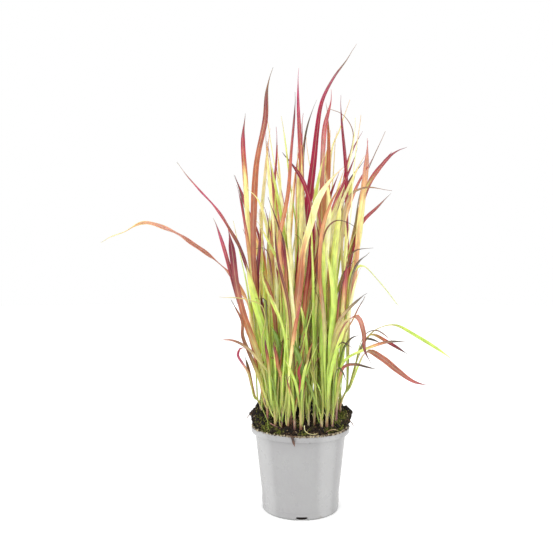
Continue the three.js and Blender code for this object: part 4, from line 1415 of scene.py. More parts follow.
class Sweep(Maker):
    """The node group that sweeps a folded, ribbed section along strands."""

    name = "blade_sweep"
    inputs = {"Spine": "Geometry", "Sides": "Int", "Midrib Rise": "Float"}

    def draw(self, leaf: Material, sheath: Material) -> Socket:
        """Adds the nodes: curve, section, shaping, materials.

        Args:
            leaf: What the blades are made of.
            sheath: What the stems are made of.

        Returns:
            The swept strands.
        """
        add = self.add
        position = add("GeometryNodeInputPosition")
        spine = add(STORE, add(GIVEN, out="Spine"), data_type="FLOAT_VECTOR",
                    links={"Name": "centre", "Value": position})
        section = add("GeometryNodeCurvePrimitiveCircle",
                      links={"Resolution": add(GIVEN, out="Sides"), "Radius": MM})
        for axis, name in enumerate(("px", "py")):
            part = add(MATH, add(SPLIT, position, out=axis), MM, operation="DIVIDE")
            section = add(STORE, section, links={"Name": name, "Value": part})
        swept = add("GeometryNodeCurveToMesh", links={
            "Curve": add("GeometryNodeMeshToCurve", spine), "Profile Curve": section,
            "Fill Caps": True})
        px, py, stem, width, thick, fold = (
            add(NAMED, name)
            for name in ("px", "py", "sheath", "half_width", "half_thickness", "fold"))
        centre, across, lift = (add(NAMED, name, data_type="FLOAT_VECTOR")
                                for name in ("centre", "across", "lift"))
        # A blade's points are drawn in towards its midrib, and a stem's are left round.
        power = add(MATH, add(MATH, px, operation="ABSOLUTE"), 1.5, operation="POWER")
        drawn_in = add(MATH, add(MATH, px, operation="SIGN"), power, **TIMES)
        kept = add(MATH, stem, add(MATH, px, drawn_in, operation="SUBTRACT"), **TIMES)
        side = add(MATH, drawn_in, kept, **PLUS)
        off = add(MATH, side, operation="ABSOLUTE")
        # The midrib stands out under a blade, and makes a shallow groove on top of it.
        square = add(MATH, off, off, **TIMES)
        peak = add(MATH, add(MATH, square, -22.0, **TIMES), operation="EXPONENT")
        flat = add(MATH, 1.0, stem, operation="SUBTRACT")
        raised = add(MATH, add(MATH, peak, flat, **TIMES), add(GIVEN, out="Midrib Rise"), **TIMES)
        under = add(MATH, add(MATH, py, 0.0, operation="LESS_THAN"), 1.5, **TIMES)
        groove = add(MATH, under, 0.5, operation="SUBTRACT")
        rib = add(MATH, 1.0, add(MATH, raised, groove, **TIMES), **PLUS)
        out = add(MATH, add(MATH, side, width, **TIMES), add(MATH, fold, operation="COSINE"),
                  **TIMES)
        folded = add(MATH, add(MATH, off, width, **TIMES),
                     add(MATH, fold, operation="SINE"), **TIMES)
        depth = add(MATH, add(MATH, py, rib, **TIMES), thick, **TIMES)
        rise = add(MATH, folded, depth, **PLUS)
        sideways = add(VECTOR_MATH, across, out, **TIMES)
        upwards = add(VECTOR_MATH, lift, rise, **TIMES)
        place = add(VECTOR_MATH, centre, add(VECTOR_MATH, sideways, upwards, **PLUS), **PLUS)
        made = add(STORE, swept, links={"Name": "side", "Value": side})
        made = add("GeometryNodeSetPosition", made, links={"Position": place})
        made = add("GeometryNodeRealizeInstances", add("GeometryNodeSetShadeSmooth", made))
        made = add(PAINT, made, links={"Material": leaf})
        stems = add(MATH, stem, 0.5, operation="GREATER_THAN")
        return add(PAINT, made, links={"Selection": stems, "Material": sheath})

    def sweep(self, name: str, strands: list[list[Rung]], sides: int, rib: float) -> Thing:
        """Sweeps strands into a plain mesh.

        Args:
            name: The piece's name.
            strands: The strands, each a list of rungs.
            sides: Points round the section.
            rib: How far the midrib stands out, in half thicknesses.

        Returns:
            The piece.
        """
        rungs, edges = [], []
        for strand in strands:
            first = len(rungs)
            edges += [(first + i, first + i + 1) for i in range(len(strand) - 1)]
            rungs += strand
        spine = new_mesh(name, [rung.centre for rung in rungs], edges=edges)
        for key, (kind, size) in ROWS.items():
            store(spine, key, np.array([getattr(rung, key) for rung in rungs]) * size, kind)
        return self.make(name, spine, **{"Sides": sides, "Midrib Rise": rib})


SCALE_TONES = tuple(map(ramp, (
    "0 BROWN, 50 TAN, 100 STRAW", "0 PURPLE, 60 PINK, 100 TAN", "0 DARK, 50 BROWN, 100 GREY",
    "0 TAN, 50 STRAW, 100 OLIVE",
)))
SHEATH_EDGE = ramp("0 BROWN, 30 TAN, 60 OLIVE, 80 GREEN, 100 SPRING")
STAINS = tuple(map(ramp, (
    "0 BROWN, 10 TAN, 34 STRAW, 70 OLIVE, 100 LIME",
    "0 PURPLE, 22 PURPLE, 44 TAN, 70 STRAW, 100 OLIVE",
    "0 BROWN, 18 RUSSET, 45 OLIVE, 75 OLIVE, 100 GREEN",
    "0 BROWN, 14 TAN, 40 TAN, 70 OLIVE, 100 OLIVE",
    "0 BROWN, 14 OLIVE, 50 OLIVE, 100 LIME",
    "0 PURPLE, 24 PINK, 50 TAN, 80 STRAW, 100 OLIVE",
    "0 BROWN, 25 OLIVE, 60 MOSSY, 100 GREEN",
)))


@dataclass(frozen=True)
class Scrap:
    """A loose strand on the peat: its points, width, thickness and tones."""

    width: float
    thickness: float
    points: tuple[Place, ...]
    tones: Ramp

    @classmethod
    def read(cls, shape: str, stops: str) -> Scrap:
        """Reads a scrap: its width and thickness with its points, and its stops."""
        sizes, points = shape.split(":")
        return cls(*map(float, sizes.split()), path(points), ramp(stops))


LITTER_ROWS = """
3.4 0.6: -14 -61.5 109, -13 -64.2 108.9, -11.6 -66.6 106, -10.6 -67.2 101.5, -9.4 -67 97.5
  0 BROWN, 30 DARK, 80 DARK, 100 BROWN
1.1 0.9: -40 -36 119, -35 -40 117, -30 -43 115, -26 -46 114
  0 PINK, 100 PURPLE
2 0.5: -42 -40 111, -43 -38 121, -47 -36 131, -51 -35 140
  0 GREEN, 50 LIME, 100 SPRING
1.3 1.1: 3 -50 119, 4 -53 113, 8 -56 110.5, 14 -57 109.5, 20 -54 110.5, 24 -50 112
  0 CREAM, 60 STRAW, 100 TAN
0.9 0.7: -19 -60 109, -15 -63 109.2, -10 -64 108.9, -5 -62 109
  0 GREY, 100 BROWN
0.8 0.6: 14 -60 109.4, 20 -61.5 109, 27 -59.5 109.3, 33 -55 110
  0 GREY, 100 DARK
1 0.8: 30 -52 111, 35 -50 113, 41 -46 113, 46 -44 111
  0 BROWN, 100 STRAW
1.2 1: -6 46 131, 2 50 131, 9 49 132, 14 44 131
  0 STRAW, 100 BROWN
1.1 0.9: 56 -12 119, 63 -18 118, 67 -24 114, 69 -26 110
  0 DARK, 100 BROWN
1 0.8: -60 12 122, -66 6 121, -70 2 118, -71 3 114
  0 DARK, 100 BROWN
""".strip().splitlines()
LITTER = tuple(map(Scrap.read, LITTER_ROWS[::2], LITTER_ROWS[1::2]))


@dataclass(frozen=True)
class Papers:
    """The papery scales that clasp a stem at the peat."""

    count: int = 3
    rungs: int = 15
    height: Sizes = (9, 26)
    gap: Sizes = (0.6, 3.0)
    depth: float = 5
    clasp: Sizes = (1.2, 1.6)
    half_width: Sizes = (1.35, 0.3)
    half_thickness: float = 0.2
    fold: float = 0.7
    edge_lead: float = 0.3

    def build(self, stem: Stem, seed: float) -> list[list[Rung]]:
        """Shapes the scales.

        Args:
            stem: The stem that they clasp.
            seed: The number that they are drawn with.

        Returns:
            Their strands.
        """
        dice = Dice(int(seed * 1000) + 71)
        dice.roll()
        strands = []
        for order in range(self.count):
            bearing = dice.roll() * TURN
            out = np.array([math.cos(bearing), math.sin(bearing), 0.0])
            height, gap = dice.between(self.height), dice.between(self.gap)
            low, (near, far) = stem.mouth - [0, 0, self.depth], self.clasp
            places, ways = Spline([
                low + out * near, low + out * far + [0, 0, height * 0.4],
                low + out * far + [0, 0, height * 0.75], low + out * (far + gap) + [0, 0, height],
            ]).even(self.rungs)
            tones, across = dice.pick(SCALE_TONES), np.cross([0, 0, 1.0], out)
            strand = []
            for i, (place, way) in enumerate(zip(places, ways)):
                u = i / (self.rungs - 1)
                flat = unit(across - way * np.dot(across, way))
                half = mix(*self.half_width, smooth(u, 0.45, 1))
                strand.append(Rung(place, flat, -out, half, self.half_thickness, self.fold,
                                   u * height, tone_at(tones, u), tone_at(tones, u + self.edge_lead),
                                   0.0, seed + order))
            strands.append(strand)
        return strands


@dataclass
class Grass:
    """All leafy stems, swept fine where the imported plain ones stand.

    Sizes given in pairs or threes are for the root, the middle and the tip. The shares of the
    way to the tip between which a size changes are named for what changes there.
    """

    growth: Growth
    sweep: Sweep
    papers: Papers = field(default_factory=Papers)
    sides: int = 16
    step: float = 5
    fewest_steps: int = 18
    rib: float = 0.9
    root_width: float = 2.6
    tip_width: float = 0.6
    fullness: float = 1.05
    swell: Sizes = (0.02, 0.45)
    thinning: Sizes = (0, 0.12)
    unfolding: Sizes = (0.02, 0.35)
    loosening: Sizes = (0.08, 0.4)
    sharpening: Sizes = (0.9, 1)
    settling: Sizes = (0.97, 1)
    hair: Sizes = (0.9, 0.975)
    hair_share: float = 0.5
    root_thickness: float = 1.1
    edge_thickness: float = 0.62
    tip_thickness: float = 0.45
    fold: Sizes = (0.95, 0.16)
    edge_lead: float = 0.07
    wave_runs: Sizes = (55, 21)
    wave_turns: Sizes = (7, 5)
    twist_run: float = 11
    sway: float = 1.1
    ripple: float = 0.05
    stem_rungs: int = 34
    foot: Sizes = (3.6, 3.2)
    neck: Sizes = (3.0, 2.2)
    girth: Sizes = (0.52, 0.84)
    wrap: float = 0.12
    wrap_fade: float = 0.02
    collar_start: float = 0.97
    collar_taper: float = 0.8
    litter_rungs: int = 25
    litter_sides: int = 10

    def width(self, u: float, blade: Blade) -> float:
        """Finds a blade's width.

        Args:
            u: The share of the way to its tip.
            blade: The blade.

        Returns:
            The width there.
        """
        swell = mix(self.root_width, blade.width, smooth(u, *self.swell))
        full = mix(swell * self.fullness, self.tip_width,
                   max(0, (u - blade.peak) / (1 - blade.peak)) ** blade.taper)
        return full * mix(1, self.hair_share, smooth(u, *self.hair))

    def frame(self, way: Point, turn: float, roll: float) -> tuple[Point, Point]:
        """Finds the ways across a section and up from it.

        Args:
            way: The unit way that the strand runs.
            turn: Which way the width lies, in degrees.
            roll: How far it is turned about the way it runs, in degrees.

        Returns:
            Two unit vectors.
        """
        flat = np.array([math.cos(math.radians(turn)), math.sin(math.radians(turn)), 0.0])
        across = turned(unit(flat - way * np.dot(flat, way)), way, math.radians(roll))
        return across, np.cross(way, across)

    def stem(self, stem: Stem, blades: list[Blade], seed: float) -> list[Rung]:
        """Shapes a sheathed stem from its foot in the soil to its collar.

        Args:
            stem: The stem.
            blades: The blades that leave it, which wrap it up to where they do.
            seed: What sets its stain and its girth.

        Returns:
            Its strand.
        """
        exits = [blade.exit for blade in blades if blade.exit < 1]
        stain = STAINS[int(seed * 7.3) % len(STAINS)]
        strand = []
        for t in (-1.0, -0.5, *np.linspace(0, 1, self.stem_rungs)):
            at = max(0.0, t)
            centre = stem.point(at) if t >= 0 else mix(stem.mouth, stem.foot, -t)
            way = stem.along(at) if t > 0 else np.array([0, 0, 1.0])
            across, up = self.frame(way, blades[0].turn, 0)
            wraps = sum(1 - smooth(at, exit_at - self.wrap_fade, exit_at + self.wrap_fade)
                        for exit_at in exits)
            taper = 1 if at < self.collar_start else self.collar_taper
            girth = mix(*self.girth, (seed * 1.7) % 1) * taper / 2
            half = (mix(a, b, at) * girth + self.wrap * wraps for a, b in zip(self.foot, self.neck))
            strand.append(Rung(centre, across, up, *half, 0.0, at * 60, tone_at(stain, at),
                               tone_at(SHEATH_EDGE, at), 1.0, seed))
        return strand

    def blade(self, blade: Blade, curve: Spline, seed: float) -> list[Rung]:
        """Shapes a blade.

        Args:
            blade: The blade.
            curve: The curve that it follows.
            seed: What sets its waves and its streaks.

        Returns:
            Its strand.
        """
        length = float(np.sum(np.linalg.norm(np.diff(curve.even(40)[0], axis=0), axis=1)))
        count = max(self.fewest_steps, int(length / self.step))
        places, ways = curve.even(count + 1)
        middle = int(count * 0.4)
        up = self.frame(ways[middle], blade.turn, blade.roll * 0.4)[1]
        inward = -places[middle] * [1, 1, 0] / 60 + [0, 0.15, 0.6]
        face = 1.0 if np.dot(up, inward) > 0 else -1.0
        phase, (slow_run, quick_run), (slow_turn, quick_turn) = (
            seed * 2.39, self.wave_runs, self.wave_turns)
        strand = []
        for i, (place, way) in enumerate(zip(places, ways)):
            u = i / count
            free = smooth(u, *self.loosening)
            waver = math.sin(length / slow_run * u + phase)
            quick = math.sin(length / quick_run * u + phase * 1.7)
            turning = (quick_turn * quick + slow_turn * waver
                       + blade.twist * math.sin(length / self.twist_run * u))
            across, up = self.frame(way, blade.turn, blade.roll * u + free * turning)
            width = self.width(u, blade) * (1 + self.ripple * free * quick)
            thick = mix(self.root_thickness, self.edge_thickness, smooth(u, *self.thinning))
            thick = mix(thick, self.tip_thickness, smooth(u, *self.sharpening))
            still = free * (1 - smooth(u, *self.settling))
            centre = place + self.sway * still * (across * waver + up * 0.8 * quick)
            strand.append(Rung(centre, across, up * face, width / 2, thick / 2,
                               mix(*self.fold, smooth(u, *self.unfolding)), u * length,
                               tone_at(blade.tones, u), tone_at(blade.tones, u + self.edge_lead),
                               0.0, seed))
        return strand

    def scrap(self, scrap: Scrap, index: int) -> list[Rung]:
        """Shapes a loose root, stalk or dead scrap.

        Args:
            scrap: What lies on the peat.
            index: Its number, which sets the way its width lies.

        Returns:
            Its strand.
        """
        places, ways = Spline([np.array(point, float) for point in scrap.points]).even(
            self.litter_rungs)
        strand = []
        for i, (place, way) in enumerate(zip(places, ways)):
            u = i / (self.litter_rungs - 1)
            across, up = self.frame(way, index * 40, 30 * u)
            taper = 1 - 0.7 * smooth(u, 0.7, 1)
            strand.append(Rung(place, across, up, scrap.width / 2 * taper,
                               scrap.thickness / 2 * taper, 0.0, u * 30, tone_at(scrap.tones, u),
                               tone_at(scrap.tones, u + 0.3), 1.0, 50 + index))
        return strand

    def litter(self) -> Thing:
        """Lays everything loose on the peat, and returns it as one piece."""
        strands = [self.scrap(scrap, index) for index, scrap in enumerate(LITTER)]
        return settle(self.sweep.sweep("litter", strands, self.litter_sides, 0))

    def build(self, nodes: dict[str, Thing]) -> list[Thing]:
        """Sweeps every stem, without the blades that the solids go without.

        Args:
            nodes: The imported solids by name.

        Returns:
            One piece a stem.
        """
        names = sorted(name for name in nodes if name.startswith("tiller_"))
        pieces = []
        for index, (name, (stem, blades)) in enumerate(zip(names, self.growth.tillers())):
            corners = np.array([v.co[:] for v in nodes[name].data.vertices]) / MM
            seed = index * 3.7
            strands = [self.stem(stem, blades, seed), *self.papers.build(stem, seed)]
            for order, blade in enumerate(blades):
                bend = self.growth.bend_in(blade, corners)
                if bend is not None:
                    curve = self.growth.curve(stem, blade, bend)
                    strands.append(self.blade(blade, curve, seed + order * 0.9 + 0.4))
            for order, wisp in enumerate(self.growth.wisps(stem, index)):
                curve = self.growth.curve(stem, wisp, (0, 0))
                strands.append(self.blade(wisp, curve, index * 5.1 + order * 1.3 + 0.7))
            piece = self.sweep.sweep(name + "_fine", strands, self.sides, self.rib)
            pieces.append(settle(piece, node=name))
        return pieces


# ---- What lies on the peat ----


@dataclass(frozen=True)
class Kind:
    """A kind of small thing scattered over the peat.

    mark is the attribute that it grows by. density is in pieces a square metre. stretch is how
    many times as long as wide it is, and lean how far it tips over, in radians.
    """

    name: str
    mark: str
    density: float
    seed: int
    size: Sizes
    stretch: float
    lean: float
    pointed: bool
    dark: str
    light: str


KINDS = (
    Kind("peat_crumbs", "crumb", 330000, 3, (0.5, 1.5), 1.0, 3.1, False, "#120d09", "#4b3728"),
    Kind("peat_clods", "crumb", 36000, 8, (1.6, 3.0), 0.8, 3.1, False, "#0f0b08", "#33251a"),
    Kind("peat_lumps", "edge", 9000, 5, (2.4, 4.4), 0.8, 3.1, False, "#0f0b08", "#2c2117"),
    Kind("peat_bits", "crumb", 26000, 14, (0.5, 1.2), 1.6, 3.1, False, "#8a7053", "#d8c6a0"),
    Kind("rim_dust", "dust", 1300000, 17, (0.3, 1.3), 1.3, 3.1, False, "#4b3a2b", "#dccdae"),
    Kind("moss_tufts", "moss", 1200000, 21, (0.5, 1.0), 3.4, 1.0, True, "#3c4d19", "#a6a54c"),
    Kind("peat_fibres", "crumb", 40000, 33, (0.14, 0.3), 14.0, 1.5, True, "#2b2018", "#8d7656"),
)


class Scatter(Maker):
    """The node group that scatters one kind of small thing over a surface."""

    name = "peat_scatter"
    inputs = {"Surface": "Geometry", "Mark": "String", "Density": "Float", "Seed": "Int",
              "Least": "Float", "Most": "Float", "Stretch": "Float", "Lean": "Float",
              "Pointed": "Bool", "Dark": "Color", "Light": "Color"}

    def draw(self, finish: Material) -> Socket:
        """Adds the nodes: places, things, tints, material.

        Args:
            finish: What the things are made of.

        Returns:
            The scattered things.
        """
        add = self.add
        seed, lean = add(GIVEN, out="Seed"), add(GIVEN, out="Lean")
        thick = add(MATH, add(NAMED, add(GIVEN, out="Mark")), add(GIVEN, out="Density"), **TIMES)
        spread = add("GeometryNodeDistributePointsOnFaces", add(GIVEN, out="Surface"),
                     links={"Density": thick, "Seed": seed})
        ball = add("GeometryNodeMeshIcoSphere", links={"Radius": 1.0, "Subdivisions": 1})
        spike = add("GeometryNodeMeshCone",
                    links={"Vertices": 4, "Side Segments": 1, "Radius Top": 0.0,
                           "Radius Bottom": 0.5, "Depth": 1.0})
        thing = add("GeometryNodeSwitch", add(GIVEN, out="Pointed"),
                    links={"False": ball, "True": spike}, input_type="GEOMETRY")
        back = add(MATH, lean, -1.0, **TIMES)
        tip = add(RANDOM, add(JOIN, back, back, -3.1), add(JOIN, lean, lean, 3.1),
                  links={"Seed": seed}, data_type="FLOAT_VECTOR")
        size = add(RANDOM, out=1, links={
            2: add(GIVEN, out="Least"), 3: add(GIVEN, out="Most"),
            "Seed": add(MATH, seed, 5.0, **PLUS)})
        scale = add(JOIN, size, add(MATH, size, 0.8, **TIMES),
                    add(MATH, size, add(GIVEN, out="Stretch"), **TIMES))
        placed = add("GeometryNodeInstanceOnPoints", links={
            "Points": spread, "Instance": thing, "Rotation": tip, "Scale": scale})
        share = add(RANDOM, out=1, links={"Seed": add(MATH, seed, 9.0, **PLUS)})
        tint = add(MIX, add(MATH, share, share, **TIMES),
                   links={6: add(GIVEN, out="Dark"), 7: add(GIVEN, out="Light")}, **COLOUR)
        placed = add(STORE, placed, data_type="FLOAT_COLOR", domain="INSTANCE",
                     links={"Name": "tint", "Value": tint})
        return add(PAINT, add("GeometryNodeRealizeInstances", placed), links={"Material": finish})

    def scatter(self, kind: Kind, surface: Mesh) -> Thing:
        """Scatters one kind of thing.

        Args:
            kind: What is scattered.
            surface: The mesh that it lies on.

        Returns:
            The piece.
        """
        piece = self.make(kind.name, surface.copy(), Mark=kind.mark, Density=kind.density,
                          Seed=kind.seed, Least=kind.size[0] * MM, Most=kind.size[1] * MM,
                          Stretch=kind.stretch, Lean=kind.lean, Pointed=kind.pointed,
                          Dark=linear(kind.dark), Light=linear(kind.light))
        return settle(piece)


# ---- The pot ----


@dataclass
class Pot:
    """A round thermoformed nursery pot: lip, tapered wall, stepped foot, notched base."""

    rim_radius: float = 65
    height: float = 108
    lip_width: float = 4
    lip_height: float = 7.4
    wall: float = 1.3
    wall_top: float = 59.8
    wall_foot: float = 50.4
    wall_start: float = 20
    foot_height: float = 8
    foot_step: float = 0.4
    base_radius: float = 48.6
    foot_ring: float = 3.2
    channel: float = 1.6
    floor_top: float = 3.4
    pad_radius: float = 16
    notch_count: int = 4
    notch_size: Place = (14.6, 14, 9.2)
    notch_corner: float = 1.6
    notch_steps: int = 5
    sides: int = 192
    smooth_angle: float = 38

    @property
    def lip_foot(self) -> float:
        """The height of the lip's lower edge."""
        return self.height - self.lip_height

    def wall_radius(self, z: float) -> float:
        """Returns the outside radius of the wall at a height."""
        share = smooth(z, 18, 30) * (z - self.wall_start) / (self.lip_foot - self.wall_start)
        return mix(self.wall_foot + self.foot_step, self.wall_top, share)

    def profile(self) -> list[Sizes]:
        """Draws half of the pot's section.

        Returns:
            (radius, height) points, from the middle of the base out, up the wall, over the lip
            and down inside to the middle of the floor.
        """
        foot, rim, step = self.wall_foot, self.rim_radius, self.foot_height
        lip, top = self.lip_foot, self.height
        mouth, wide = rim - self.lip_width, self.wall_foot + self.foot_step
        ring = self.base_radius - self.foot_ring
        climb = [(self.wall_radius(z), z) for z in np.linspace(22, lip - 3, 14)]
        return [
            (0, 0), (self.pad_radius, 0), (self.pad_radius + 1.2, self.channel),
            (ring - 1, self.channel), (ring, 0), (self.base_radius, 0), (foot - 1.1, 0.35),
            (foot - 0.35, 1.3), (foot, 3), (foot, step), (foot + 0.12, step + 0.15),
            (foot + 0.34, step + 0.45), (wide, step + 0.8), (wide, self.wall_start), *climb,
            (self.wall_top, lip - 1), (self.wall_top + 0.7, lip - 0.5), (rim - 1.6, lip),
            (rim - 0.6, lip + 0.3), (rim - 0.2, lip + 1), (rim, top - 2.2), (rim - 0.2, top - 1.1),
            (rim - 0.8, top - 0.35), (rim - 1.8, top), (rim - 2.6, top), (mouth + 0.7, top - 0.5),
            (mouth + 0.15, top - 1.3), (mouth, top - 2.2),
            *((r - self.wall, z) for r, z in reversed(climb)),
            (wide - self.wall, self.wall_start), (foot - self.wall, self.floor_top + 3),
            (foot - self.wall - 3, self.floor_top), (0, self.floor_top),
        ]

    def cutter(self, index: int) -> Thing:
        """Makes the block that cuts one drain notch, round at its upper corners.

        Args:
            index: The notch's number round the pot.

        Returns:
            The block.
        """
        wide, deep, tall = self.notch_size
        corner, top = self.notch_corner, tall / 2
        shape = [(-wide / 2, -top), (wide / 2, -top)]
        for middle, start in ((wide / 2 - corner, 0), (-wide / 2 + corner, 90)):
            for step in range(self.notch_steps + 1):
                angle = math.radians(start + 90 / self.notch_steps * step)
                shape.append((middle + corner * math.cos(angle),
                              top - corner + corner * math.sin(angle)))
        bearing, count = index * TURN / self.notch_count, len(shape)
        points = [spun(x, y, z, bearing)
                  for y in (-self.wall_foot - deep / 2, -self.wall_foot + deep / 2)
                  for x, z in shape]
        faces = [tuple(range(count)), tuple(reversed(range(count, 2 * count)))]
        faces += [(i, i + count, (i + 1) % count + count, (i + 1) % count) for i in range(count)]
        mesh = new_mesh("notch_cutter", points, faces=faces)
        face_outwards(mesh)
        return new_object("notch_cutter", mesh)

    def build(self, finish: Finish) -> Thing:
        """Turns the pot and cuts its notches.

        Args:
            finish: What it is made of.

        Returns:
            The pot.
        """
        first, *middle, last = self.profile()
        rows = [[spun(r, 0, z, TURN * k / self.sides) for r, z in middle]
                for k in range(self.sides)]
        body = new_object("pot_body", round_shell("pot_body", ((0, 0, first[1]), (0, 0, last[1])),
                                                  rows))
        cutters = [self.cutter(index) for index in range(self.notch_count)]
        for cutter in cutters:
            cut = body.modifiers.new("notch", "BOOLEAN")
            cut.object, cut.operation, cut.solver = cutter, "DIFFERENCE", "EXACT"
        piece = baked("pot_fine", body)
        for cutter in cutters:
            bpy.data.objects.remove(cutter)
        piece.data.shade_smooth()
        piece.data.set_sharp_from_angle(angle=math.radians(self.smooth_angle))
        return settle(piece, finish, "pot")


# ---- The root ball ----


@dataclass(frozen=True)
class Patch:
    """A patch of moss: its middle, its radius and how thick it lies."""

    x: float
    y: float
    radius: float
    weight: float

    def cover(self, x: float, y: float) -> float:
        """Returns how mossy it makes a place."""
        away = math.hypot(x - self.x, y - self.y) / self.radius
        return self.weight * (1 - smooth(away, 0.4, 1.1))


MOSS = (
    Patch(-43, -32, 12, 1.0), Patch(-47, -10, 14, 1.0), Patch(-44, 22, 18, 0.9),
    Patch(50, -8, 14, 1.0), Patch(52, -31, 12, 1.0), Patch(36, -47, 9, 0.9), Patch(47, 22, 14, 0.8),
    Patch(29, 14, 10, 0.8), Patch(10, 50, 17, 0.9), Patch(-22, 52, 12, 0.7), Patch(-6, -30, 8, 0.8),
    Patch(-29, -48, 9, 0.8), Patch(2, -53, 7, 0.6), Patch(22, -30, 8, 0.7), Patch(-20, -28, 8, 0.7),
    Patch(12, -42, 5, 0.6),
)


@dataclass
class RootBall:
    """The peat with its mound, its overhang, its clods and its moss.

    The peat spills over the rim behind, and draws back from it at one place in front. clods and
    crumbs are (waves a millimetre, height) of its roughness, and push is that of its sideways
    part.
    """

    ground: Ground
    pot: Pot
    touch_gap: float = 0.35
    overhang: float = 6.4
    edge_inset: float = 1.5
    edge_radius: float = 57
    hollow_bearing: float = 196
    hollow_width: Sizes = (8, 30)
    hollow_depth: float = 3
    sides: int = 220
    edge_rings: int = 5
    top_rings: int = 46
    clods: tuple[Sizes, ...] = ((0.085, 2.8), (0.21, 2.2))
    crumbs: tuple[Sizes, ...] = ((0.55, 1.1), (1.3, 0.4))
    push: Sizes = (0.3, 1.6)
    push_away: tuple[Place, Place] = ((31.7, 5.3, 11.9), (7.1, 43.9, 23.3))
    moss_foot: float = 100
    dust_sides: int = 160
    dust_rings: Place = (61.2, 63.2, 65.0)
    dust_height: float = 108.1
    drain_lump: Place = (1.02, 2.4, 2.8)
    drain_place: Sizes = (4.8, 2.6)

    def hollow(self, angle: float) -> float:
        """Returns how far the peat draws back from the rim at a bearing, from 0 to 1."""
        away = abs((math.degrees(angle) - self.hollow_bearing + 180) % 360 - 180)
        return 1 - smooth(away, *self.hollow_width)

    def inner_wall(self, z: float) -> float:
        """Returns the radius of the ball where it stands against the pot, at a height."""
        return self.pot.wall_radius(z) - self.pot.wall - self.touch_gap - 0.2

    def outline(self, angle: float) -> list[Sizes]:
        """Draws the ball's side.

        Args:
            angle: The bearing, in radians.

        Returns:
            (radius, height) points, from the edge of its foot up to the edge of its top.
        """
        pot, wall, hollow = self.pot, self.inner_wall, self.hollow(angle)
        rim, low = pot.rim_radius - pot.lip_width - self.edge_inset, pot.floor_top
        spill = min(1.0, max(0.0, (math.sin(angle) + 0.5) / 0.5))
        lift = smooth(spill, 0, 0.5)
        lumps = 1 + 0.14 * math.sin(5 * angle + 0.6) + 0.1 * math.sin(11 * angle)
        out = self.overhang * smooth(spill, 0.5, 1) * lumps * (1 - 0.9 * hollow)
        edge = (self.ground.top(58 * math.cos(angle), 58 * math.sin(angle))
                - self.hollow_depth * hollow)
        return [
            (wall(10) - 4, low + self.touch_gap), (wall(10) - 0.6, low + 5), (wall(20) - 0.3, 20),
            (wall(34), 34), (wall(66), 66), (wall(pot.lip_foot - 3) - 0.2, pot.lip_foot - 3),
            (rim, mix(103.4, pot.height + 0.6, lift)),
            (rim + out * 0.8, mix(104.6, min(pot.height + 4, edge - 3), lift)),
            (rim + out * 1.15 - 0.6 * (1 - lift),
             mix(105.8, edge - 5 * smooth(spill, 0.3, 1) - 1, lift)),
            (self.edge_radius + out * 0.8, edge),
        ]

    def rough(self, point: Point, spread: float) -> Point:
        """Moves a point of the surface by clods and crumbs.

        Args:
            point: Where it is.
            spread: How much of the roughness it takes.

        Returns:
            Where it goes.
        """
        at, (waves, far) = Vector(point.tolist()), self.push
        clods, crumbs = (sum(noise.noise(at * scale) * height for scale, height in part)
                         for part in (self.clods, self.crumbs))
        # Two far parts of one noise, because noise_vector differs from run to run.
        push = [noise.noise(at * waves + Vector(away)) * far for away in self.push_away]
        return point + spread * np.array([*push, clods + crumbs])

    def row(self, angle: float) -> list[Point]:
        """Shapes the ball at one bearing.

        Args:
            angle: The bearing, in radians.

        Returns:
            The points from the edge of its foot, over its edge, up to the middle of its top.
        """
        c, s = math.cos(angle), math.sin(angle)
        side = [np.array([r * c, r * s, z]) for r, z in self.outline(angle)]
        lip, rings = side[-4:], self.edge_rings
        fine = [mix(a, b, i / rings) for a, b in zip(lip, lip[1:]) for i in range(rings)]
        for i in range(self.top_rings):
            share = i / self.top_rings
            reach = np.linalg.norm(lip[-1][:2]) * (1 - share)
            x, y = reach * c, reach * s
            z = mix(lip[-1][2], self.ground.top(x, y), smooth(share, 0, 0.08))
            fine.append(np.array([x, y, z]))
        return side[:-4] + [self.rough(point, smooth(i, 3, 9)) for i, point in enumerate(fine)]

    def moss(self, point: Point) -> float:
        """Returns how mossy the surface is at a point, from 0 to 1."""
        most = max(patch.cover(point[0], point[1]) for patch in MOSS)
        return most if point[2] > self.moss_foot else 0.0

    def build(self, finish: Finish) -> Thing:
        """Shapes the root ball, and marks where moss, crumbs and lumps lie on it.

        Args:
            finish: What it is made of.

        Returns:
            The root ball.
        """
        ends = (np.array([0, 0, self.pot.floor_top + self.touch_gap]),
                self.rough(np.array([0, 0, self.ground.top(0, 0)]), 1))
        rows = [self.row((k + 0.5) * TURN / self.sides) for k in range(self.sides)]
        mesh = round_shell("root_ball_fine", ends, rows)
        points = [*ends, *(point for row in rows for point in row)]
        moss = [self.moss(point) for point in points]
        store(mesh, "moss", moss)
        store(mesh, "edge", [smooth(z, 103, 107) * smooth(np.hypot(x, y), 44, 60)
                             * smooth(y, -48, -28) for x, y, z in points])
        store(mesh, "crumb", [smooth(point[2], 101, 104) * (1 - 0.6 * share)
                              for point, share in zip(points, moss)])
        mesh.shade_smooth()
        return settle(new_object("root_ball_fine", mesh), finish, "root_ball")

